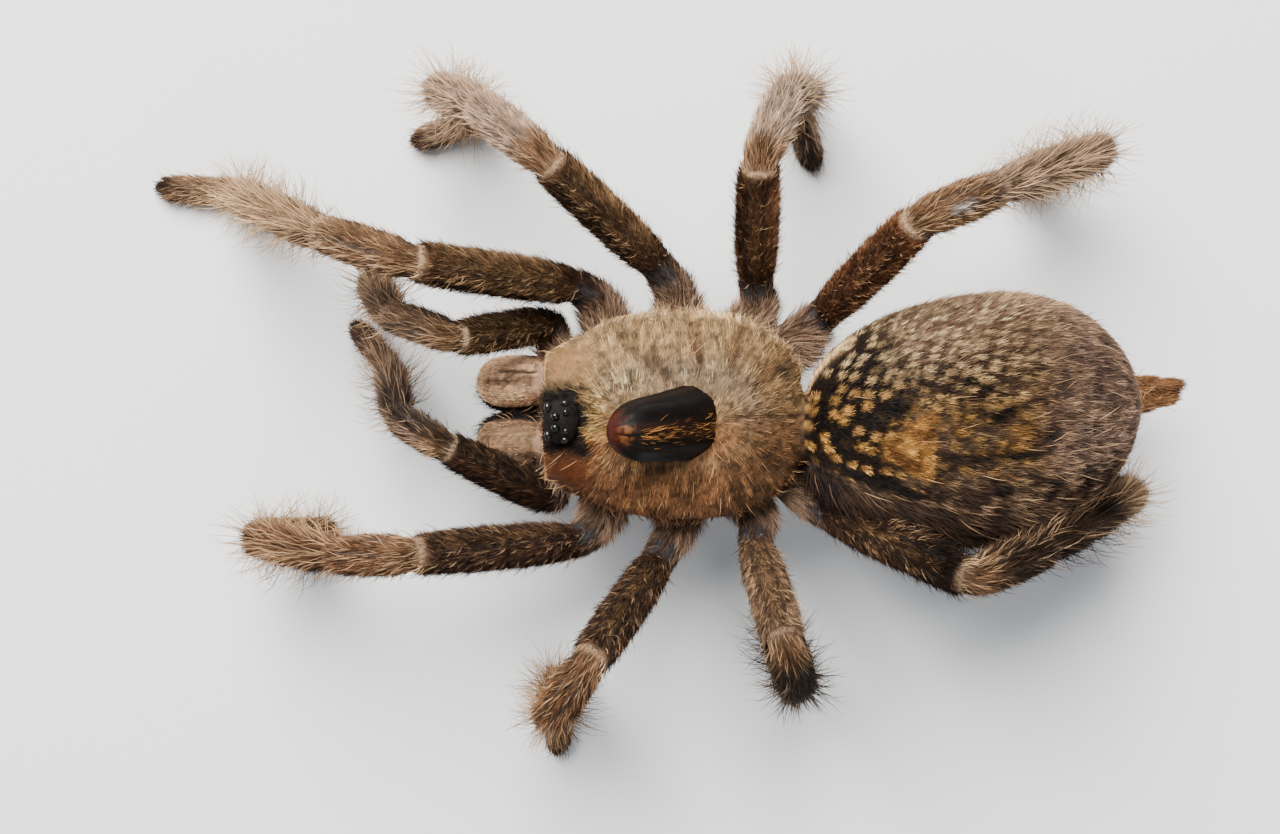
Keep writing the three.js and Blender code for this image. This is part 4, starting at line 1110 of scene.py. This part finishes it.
def put_on(name, slot, parts, *nodes):
    """A finished piece from closed grids that carry tones: it rides on the body and replaces solids."""
    spots, faces = joined([closed_grid(grid) for grid in parts])
    piece = make_mesh(name, spots[:, :3], faces)
    paint(piece, np.clip(spots[:, 3:6], 0, 1))
    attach(piece, "root")
    if nodes:
        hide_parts(*nodes)
    return piece


horn = put_on("horn_skin", "horn", [grid_of(horn_coat, np.linspace(0, 1, 110), 160)], "horn")
EYE_MOUND, MOUND_HALF = np.array([-5.5, -0.2, 18.75]), (1.3, 1.6, 0.96)
EYES = {
    "front_middle": ((0.4, 0.4, 0.93), (0.31, 0.31, 0.3)),
    "front_outer": ((0.95, 0.98, 0.52), (0.28, 0.38, 0.26)),
    "rear_middle": ((-0.32, 0.66, 0.93), (0.2, 0.24, 0.17)),
    "rear_outer": ((-0.25, 1.28, 0.62), (0.28, 0.24, 0.2)),
}


def mound_coat(share, turn):
    """The black mound that carries the eyes: an egg, a little rough."""
    spots = egg(EYE_MOUND, MOUND_HALF, share, turn)
    grain = cloud(spots, 0.25, 22)
    shade = mix(tone(12, 10, 10), tone(26, 21, 19), grain)
    return np.concatenate([spots + 0.06 * (grain - 0.5)[..., None], shade], -1)


def eye_coat(place, half, lens, share, turn):
    """A lens: an egg of one tone."""
    return np.concatenate([egg(place, half, share, turn), lens + 0 * rows(share, turn, turn)], -1)


mound_grid = grid_of(mound_coat, np.linspace(0.01, 0.99, 40), 56)
mound_piece = put_on("eye_mound_skin", "eye_mound", [mound_grid], "eye_mound")
lenses, eye_nodes = [], []
for kind, ((ahead, out, up), half) in EYES.items():
    lens = tone(8, 7, 7) if kind == "front_middle" else tone(18, 15, 13)
    for side, mirror in MIRRORS:
        place = EYE_MOUND + np.array([-ahead, mirror * out, up])
        surface = lambda s, t, p=place, h=half, c=lens: eye_coat(p, h, c, s, t)
        lenses.append(grid_of(surface, np.linspace(0.01, 0.99, 14), 20))
        eye_nodes.append(f"eye_{kind}_{side}")
eyes = put_on("eyes", "eyes", lenses, *eye_nodes)
FANG = ((-11.4, 2.2, 8.2), (-10.7, 2.1, 2.6), (-6.2, 1.7, 5.0))
FANG_HALF = 0.78


def fang_coat(mirror, share, turn):
    """A fang: rings along a bent line, whose radius shrinks from the root's to a point."""
    at, run = bow_line(*(np.array(p) * (1, mirror, 1) for p in FANG), share)
    up = np.cross([0.0, 1.0, 0.0], run)
    size = FANG_HALF * (1 - 0.9 * share**1.4)
    spots = at + rows(0, size * np.cos(turn), 0) + up * (size * np.sin(turn))[..., None]
    return np.concatenate([spots, mix(tone(64, 22, 12), tone(14, 10, 9), ramp(0.05, 0.4, share))], -1)


fangs = put_on("fang_skins", "fangs", [
    grid_of(lambda s, t, m=m: fang_coat(m, s, t), np.linspace(0, 1, 40), 24) for m in (1, -1)
], "fang_right", "fang_left")
for piece in (horn, mound_piece, eyes, fangs):
    print(piece.name, len(piece.data.polygons), "faces")

# %% [markdown]
# ## Claws
# Each leg ends in a pair of small curved claws, half hidden in a tuft. They are bent cones.

# %% Claws
CLAW_LENGTH, CLAW_HALF, CLAW_DROP = 0.85, 0.13, 0.55


def claw_coat(tube, side, share, turn):
    """A claw: from the middle of the foot's tip it runs on, spreads a little and curls to the floor."""
    tip, run, across = tube.at[-1], tube.run[-1], tube.side[-1]
    root = tip - 0.35 * run + side * 0.22 * across + np.array([0, 0, 0.12])
    end = root + CLAW_LENGTH * run + side * 0.12 * across
    end[2] = max(0.06, root[2] - CLAW_DROP)
    at, along = bow_line(root, (root + end) / 2 + np.array([0, 0, 0.32]), end, share)
    up = np.cross(across, along)
    size = CLAW_HALF * (1 - 0.88 * share)
    spots = at + across * (size * np.cos(turn))[..., None] + up * (size * np.sin(turn))[..., None]
    return np.concatenate([spots, mix(tone(52, 30, 20), tone(14, 11, 10), ramp(0.1, 0.5, share))], -1)


claw_grids = [
    grid_of(lambda s, t, c=tube, d=side: claw_coat(c, d, s, t), np.linspace(0, 1, 12), 10)
    for limb, tube in limbs.items() if limb.startswith("leg") for side in (1, -1)
]
claws = put_on("claws", "fangs", claw_grids)
print(len(claw_grids), "claws")

# %% [markdown]
# ## Finishes
# Every finish reads the colour kept on its piece, and a fine pattern in space shifts it a little. The
# skin gets a rough, fibrous bump for the shortest fur. The horn and the fangs are glossy, and the eyes
# are wet.

# %% Materials
def finish(name, rough, grain=0.0, scale=900.0, bump=0.0, depth=0.00008, gloss=0.5, clear=0.0, sheen=0.0):
    """A plain shader whose colour is the kept tone, made lighter and darker by noise, with a bump."""
    material = bpy.data.materials.new(name)
    material.use_nodes = True
    nodes, link = material.node_tree.nodes, material.node_tree.links.new
    shader = nodes["Principled BSDF"]
    kept = nodes.new("ShaderNodeAttribute")
    kept.attribute_name = "tone"
    colour = kept.outputs["Color"]
    if grain or bump:
        place, noise = nodes.new("ShaderNodeTexCoord"), nodes.new("ShaderNodeTexNoise")
        noise.inputs["Scale"].default_value, noise.inputs["Detail"].default_value = scale, 3.0
        link(place.outputs["Object"], noise.inputs["Vector"])
    if grain:
        spread, blend = nodes.new("ShaderNodeMapRange"), nodes.new("ShaderNodeMix")
        spread.inputs["To Min"].default_value, spread.inputs["To Max"].default_value = 1 - grain, 1 + grain
        blend.data_type, blend.blend_type = "RGBA", "MULTIPLY"
        blend.inputs["Factor"].default_value = 1.0
        link(noise.outputs["Fac"], spread.inputs["Value"])
        link(colour, blend.inputs["A"])
        link(spread.outputs["Result"], blend.inputs["B"])
        colour = blend.outputs["Result"]
    if bump:
        raised = nodes.new("ShaderNodeBump")
        raised.inputs["Strength"].default_value, raised.inputs["Distance"].default_value = bump, depth
        link(noise.outputs["Fac"], raised.inputs["Height"])
        link(raised.outputs["Normal"], shader.inputs["Normal"])
    link(colour, shader.inputs["Base Color"])
    shader.inputs["Roughness"].default_value = rough
    shader.inputs["Specular IOR Level"].default_value = gloss
    shader.inputs["Coat Weight"].default_value = clear
    shader.inputs["Coat Roughness"].default_value = 0.12
    shader.inputs["Sheen Weight"].default_value = sheen
    return material


FINISHES = {
    "fibrous skin": (skin, finish("fibrous skin", 0.75, 0.4, 3200.0, 0.8, 0.0001, 0.15)),
    "horn": (horn, finish("hard horn", 0.5, 0.3, 1500.0, 0.7, 0.0001, 0.08)),
    "mound": (mound_piece, finish("black mound", 0.7, 0.2, 2500.0, 0.5, 0.00005, 0.08)),
    "eyes": (eyes, finish("wet eye", 0.1, gloss=0.4)),
    "fangs": (fangs, finish("polished fang", 0.35, 0.1, 800.0, gloss=0.3)),
    "claws": (claws, finish("claw", 0.25, gloss=0.6)),
}
for piece, material in FINISHES.values():
    piece.data.materials.append(material)
print("finishes:", ", ".join(FINISHES))

# %% [markdown]
# ## The coat
# The coat is made of separate hairs. A hair is a thin spike with three sides: it costs four triangles, or
# ten when it is long and bends. Roots are scattered over the skin, more of them where the fur is dense.
# Each hair leaves its root along the lie of the coat, lifted off the skin by a small angle, and takes the
# tone of the skin under it, painted darker at the root as painted shade deep in the coat and paler at the
# tip.

# %% Roots
skin_mesh = skin.data
skin_mesh.calc_loop_triangles()
corners = read_all(skin_mesh.loop_triangles, "vertices", np.int32)
skin_spots = read_all(skin_mesh.vertices, "co") / MM - ORIGIN
skin_out = read_all(skin_mesh.vertex_normals, "vector").astype(float)
a, b, c = (skin_spots[corners[:, k]] for k in range(3))
areas = np.linalg.norm(np.cross(b - a, c - a), axis=1) / 2
print("skin area", round(areas.sum()), "mm2")


def unit(arrows):
    """Arrows made one long."""
    return arrows / np.maximum(np.linalg.norm(arrows, axis=-1), 1e-9)[..., None]


THINNER_BELOW = 0.6


def scatter(kind):
    """Roots on the skin: each triangle gets its area times the wished number per square millimetre, and
    each root a random place inside it. What grows there is blended from the three corners."""
    facing_down = skin_out[corners, 2].mean(1) < -0.5
    wished = areas * grown[kind][corners, 2].mean(1) * np.where(facing_down, THINNER_BELOW, 1.0)
    chosen = np.repeat(np.arange(len(corners)), np.floor(wished + rng.random(len(wished))).astype(int))
    first, second = rng.random((2, len(chosen)))
    fold = first + second > 1
    first, second = np.where(fold, 1 - first, first), np.where(fold, 1 - second, second)
    weights = np.stack([1 - first - second, first, second], -1)
    trio = corners[chosen]

    def read(values):
        return (values[trio] * weights[..., None]).sum(1)

    same = (part[trio] == part[trio[:, :1]]).all(1)[:, None]
    here = what_grows(part[trio[:, 0]], np.where(same, read(where), where[trio[:, 0]]))
    return {
        "root": read(skin_spots), "out": unit(read(skin_out)), "lie": here["lie"],
        "growth": here[kind], "shade": here["shade"], "unwrap": here["unwrap"],
    }


# %% Hairs
HAIR_WIDTH = 0.08
ROOT_DEPTH = 0.06
FLOOR_GAP = 0.02
PATCH, PATCH_SHIFT = 0.003, 0.004


def hair_lines(roots, turn_spread, lift_spread, bend):
    """Root, middle and tip of each hair: it starts along the lie, turned and lifted at random, and its
    second half leans further down by the bend."""
    count = len(roots["root"])
    out = roots["out"]
    along = unit(roots["lie"] - out * (roots["lie"] * out).sum(1)[:, None])
    across = np.cross(out, along)
    swing = rng.normal(0, turn_spread, count)[:, None] + 0.4 * (tufts(roots["root"], 51) - 0.5)[:, None]
    along = np.cos(swing) * along + np.sin(swing) * across
    length = roots["growth"][:, 0] * rng.uniform(0.7, 1.2, count)
    lift = roots["growth"][:, 1] * np.clip(rng.normal(1, lift_spread, count), 0.3, 2.0)
    first = np.cos(lift)[:, None] * along + np.sin(lift)[:, None] * out
    second = np.cos(lift * bend)[:, None] * along + np.sin(lift * bend)[:, None] * out
    root = roots["root"] - ROOT_DEPTH * out
    middle = root + 0.5 * length[:, None] * first
    return root, middle, middle + 0.5 * length[:, None] * second, along, out


def kept_in(spots):
    """No hair goes through the floor."""
    spots[..., 2] = np.maximum(spots[..., 2], FLOOR_GAP)
    return spots


def three_sided(line, width, along, out):
    """Three corners round a place, square to the hair."""
    across = unit(np.cross(out, along))
    turns = np.radians([90, 210, 330])
    ring = np.cos(turns)[:, None, None] * across + np.sin(turns)[:, None, None] * out
    return (line + width * ring).transpose(1, 0, 2)


def hair_tones(roots, pale, spread):
    """One tone for each hair: the skin's, lighter or darker at random, some hairs paler."""
    count = len(roots["root"])
    shared = 0.8 * (tufts(roots["root"], 61) - 0.5) + np.where(rng.random(count) < 0.35, 0.45, -0.3)
    shade = roots["shade"] * np.exp(rng.normal(0, spread, count) + shared)[:, None]
    return mix(shade, tone(222, 200, 168), pale * rng.random(count) ** 2 * ramp(0.02, 0.2, shade.mean(1)))


def short_hairs(roots):
    """Spikes of four corners and four triangles: spots, faces, tones and unwrap places."""
    root, _, tip, along, out = hair_lines(roots, 0.13, 0.35, 0.6)
    base = three_sided(root, HAIR_WIDTH / 2, along, out)
    spots = kept_in(np.concatenate([base, tip[:, None]], 1))
    faces = np.array([(0, 1, 3), (1, 2, 3), (2, 0, 3), (2, 1, 0)])
    shade = hair_tones(roots, 0.1, 0.2)
    # Darker at the root, as painted shade deep in the coat, and paler at the tip.
    shades = np.stack([0.4 * shade] * 3 + [1.15 * shade], 1)
    corner = np.array([(0, 0), (1, 0), (0, 1), (0.33, 0.33)]) * PATCH
    return spots, faces, shades, corner


def long_hairs(roots):
    """Bent spikes of seven corners and ten triangles."""
    root, middle, tip, along, out = hair_lines(roots, 0.3, 0.3, 0.55)
    base = three_sided(root, HAIR_WIDTH / 2, along, out)
    knee = three_sided(middle, 0.3 * HAIR_WIDTH, along, out)
    spots = kept_in(np.concatenate([base, knee, tip[:, None]], 1))
    sides = [(i, (i + 1) % 3, 3 + (i + 1) % 3, 3 + i) for i in range(3)]
    faces = [(a, b, c) for a, b, c, d in sides] + [(a, c, d) for a, b, c, d in sides]
    faces = np.array(faces + [(3, 4, 6), (4, 5, 6), (5, 3, 6), (2, 1, 0)])
    shade = hair_tones(roots, 0.5, 0.25)
    shade = mix(shade, tone(196, 162, 124), 0.5 * ramp(0.008, 0.06, shade.mean(1)))
    # Darker at the root, as painted shade deep in the coat, and paler towards the tip.
    shades = np.stack([0.5 * shade] * 3 + [0.9 * shade] * 3 + [1.1 * shade], 1)
    ring = np.array([(0, 0), (1, 0), (0, 1)])
    corner = np.concatenate([ring, 0.4 * ring + 0.2, [(0.33, 0.33)]]) * PATCH
    return spots, faces, shades, corner


HAIR_FINISH = finish("hair", 0.7, gloss=0.12)
sown = {kind: scatter(kind) for kind in ("fur", "bristle")}


def trough_roots(count):
    """Roots of the few golden hairs that lie in the horn's trough, pointing to its foot."""
    share, back = rng.uniform(0.05, 0.86, count), rng.normal(0.12, 0.16, count)
    turn = back + np.pi / 2
    spots = horn_coat(share, turn)[:, :3]
    lie = horn_coat(share - 0.03, turn)[:, :3] - spots
    out = np.cross(lie, spots - horn_coat(share, turn + 0.05)[:, :3])
    shade = mix(tone(150, 104, 54), tone(96, 66, 38), rng.random(count))
    return {
        "root": spots, "out": unit(out * np.sign(out[:, 2:])), "lie": unit(lie),
        "growth": rows(1.2, 0.08, 0 * share), "shade": shade, "unwrap": rows(share, turn / (2 * np.pi), 14.0),
    }


TROUGH_HAIRS = 220
on_horn = trough_roots(TROUGH_HAIRS)
sown["fur"] = {key: np.concatenate([values, on_horn[key]]) for key, values in sown["fur"].items()}
print({kind: len(roots["root"]) for kind, roots in sown.items()}, "roots")


def grow(name, mask):
    """One piece of coat: the short and long hairs whose roots the mask picks, with their own unwrap."""
    spots, faces, shades, places, start = [], [], [], [], 0
    for kind, make in (("fur", short_hairs), ("bristle", long_hairs)):
        picked = mask(sown[kind])
        roots = {key: values[picked] for key, values in sown[kind].items()}
        hair_spots, pattern, tones, corner = make(roots)
        count, size = hair_spots.shape[:2]
        spots.append(hair_spots.reshape(-1, 3))
        shades.append(tones.reshape(-1, 3))
        at = np.clip(roots["unwrap"][:, None, :2] + rng.uniform(0, PATCH_SHIFT, (count, 1, 2)), 0, 1 - PATCH)
        places.append((at + corner).reshape(-1, 2))
        faces.append((pattern + (start + size * np.arange(count))[:, None, None]).reshape(-1, 3))
        start += count * size
    faces, places = np.concatenate(faces), np.concatenate(places)
    piece = make_mesh(name, np.concatenate(spots), faces, smooth=False)
    paint(piece, np.clip(np.concatenate(shades), 0, 1))
    chart = piece.data.uv_layers.new(name="OFBake")
    chart.data.foreach_set("uv", places[faces.ravel()].astype(np.float32).ravel())
    piece.data.materials.append(HAIR_FINISH)
    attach(piece, "root")
    return len(faces)


REGIONS = {"shell": 0, "jaws": 2, "underside": 13, "horn": 14} | {limb: 3 + i for i, limb in enumerate(limbs)}
QUARTERS = {"back_right": 0.0, "flank_right": 0.25, "flank_left": 0.5, "back_left": 0.75}
grown_faces = {
    name: grow(f"coat_{name}", lambda r, k=k: np.rint(r["unwrap"][:, 2]) == k) for name, k in REGIONS.items()
}
for name, low in QUARTERS.items():
    grown_faces[name] = grow(f"coat_{name}", lambda r, low=low: (
        (np.rint(r["unwrap"][:, 2]) == 1) & (r["unwrap"][:, 1] >= low) & (r["unwrap"][:, 1] < low + 0.25)))
print("triangles:", grown_faces, "in all", sum(grown_faces.values()))

# %% [markdown]
# ## The floor
# A wide flat sheet at the height of the feet, staged as the studio's and not as a piece of the animal.

# %% Floor
HALF_FLOOR = 1.5
floor_mesh = bpy.data.meshes.new("floor")
floor_corners = [(x * HALF_FLOOR, y * HALF_FLOOR, 0) for x, y in ((-1, -1), (1, -1), (1, 1), (-1, 1))]
floor_mesh.from_pydata(floor_corners, [], [(0, 1, 2, 3)])
floor = bpy.data.objects.new("floor", floor_mesh)
bpy.context.scene.collection.objects.link(floor)
print("floor", 2 * HALF_FLOOR, "m wide")
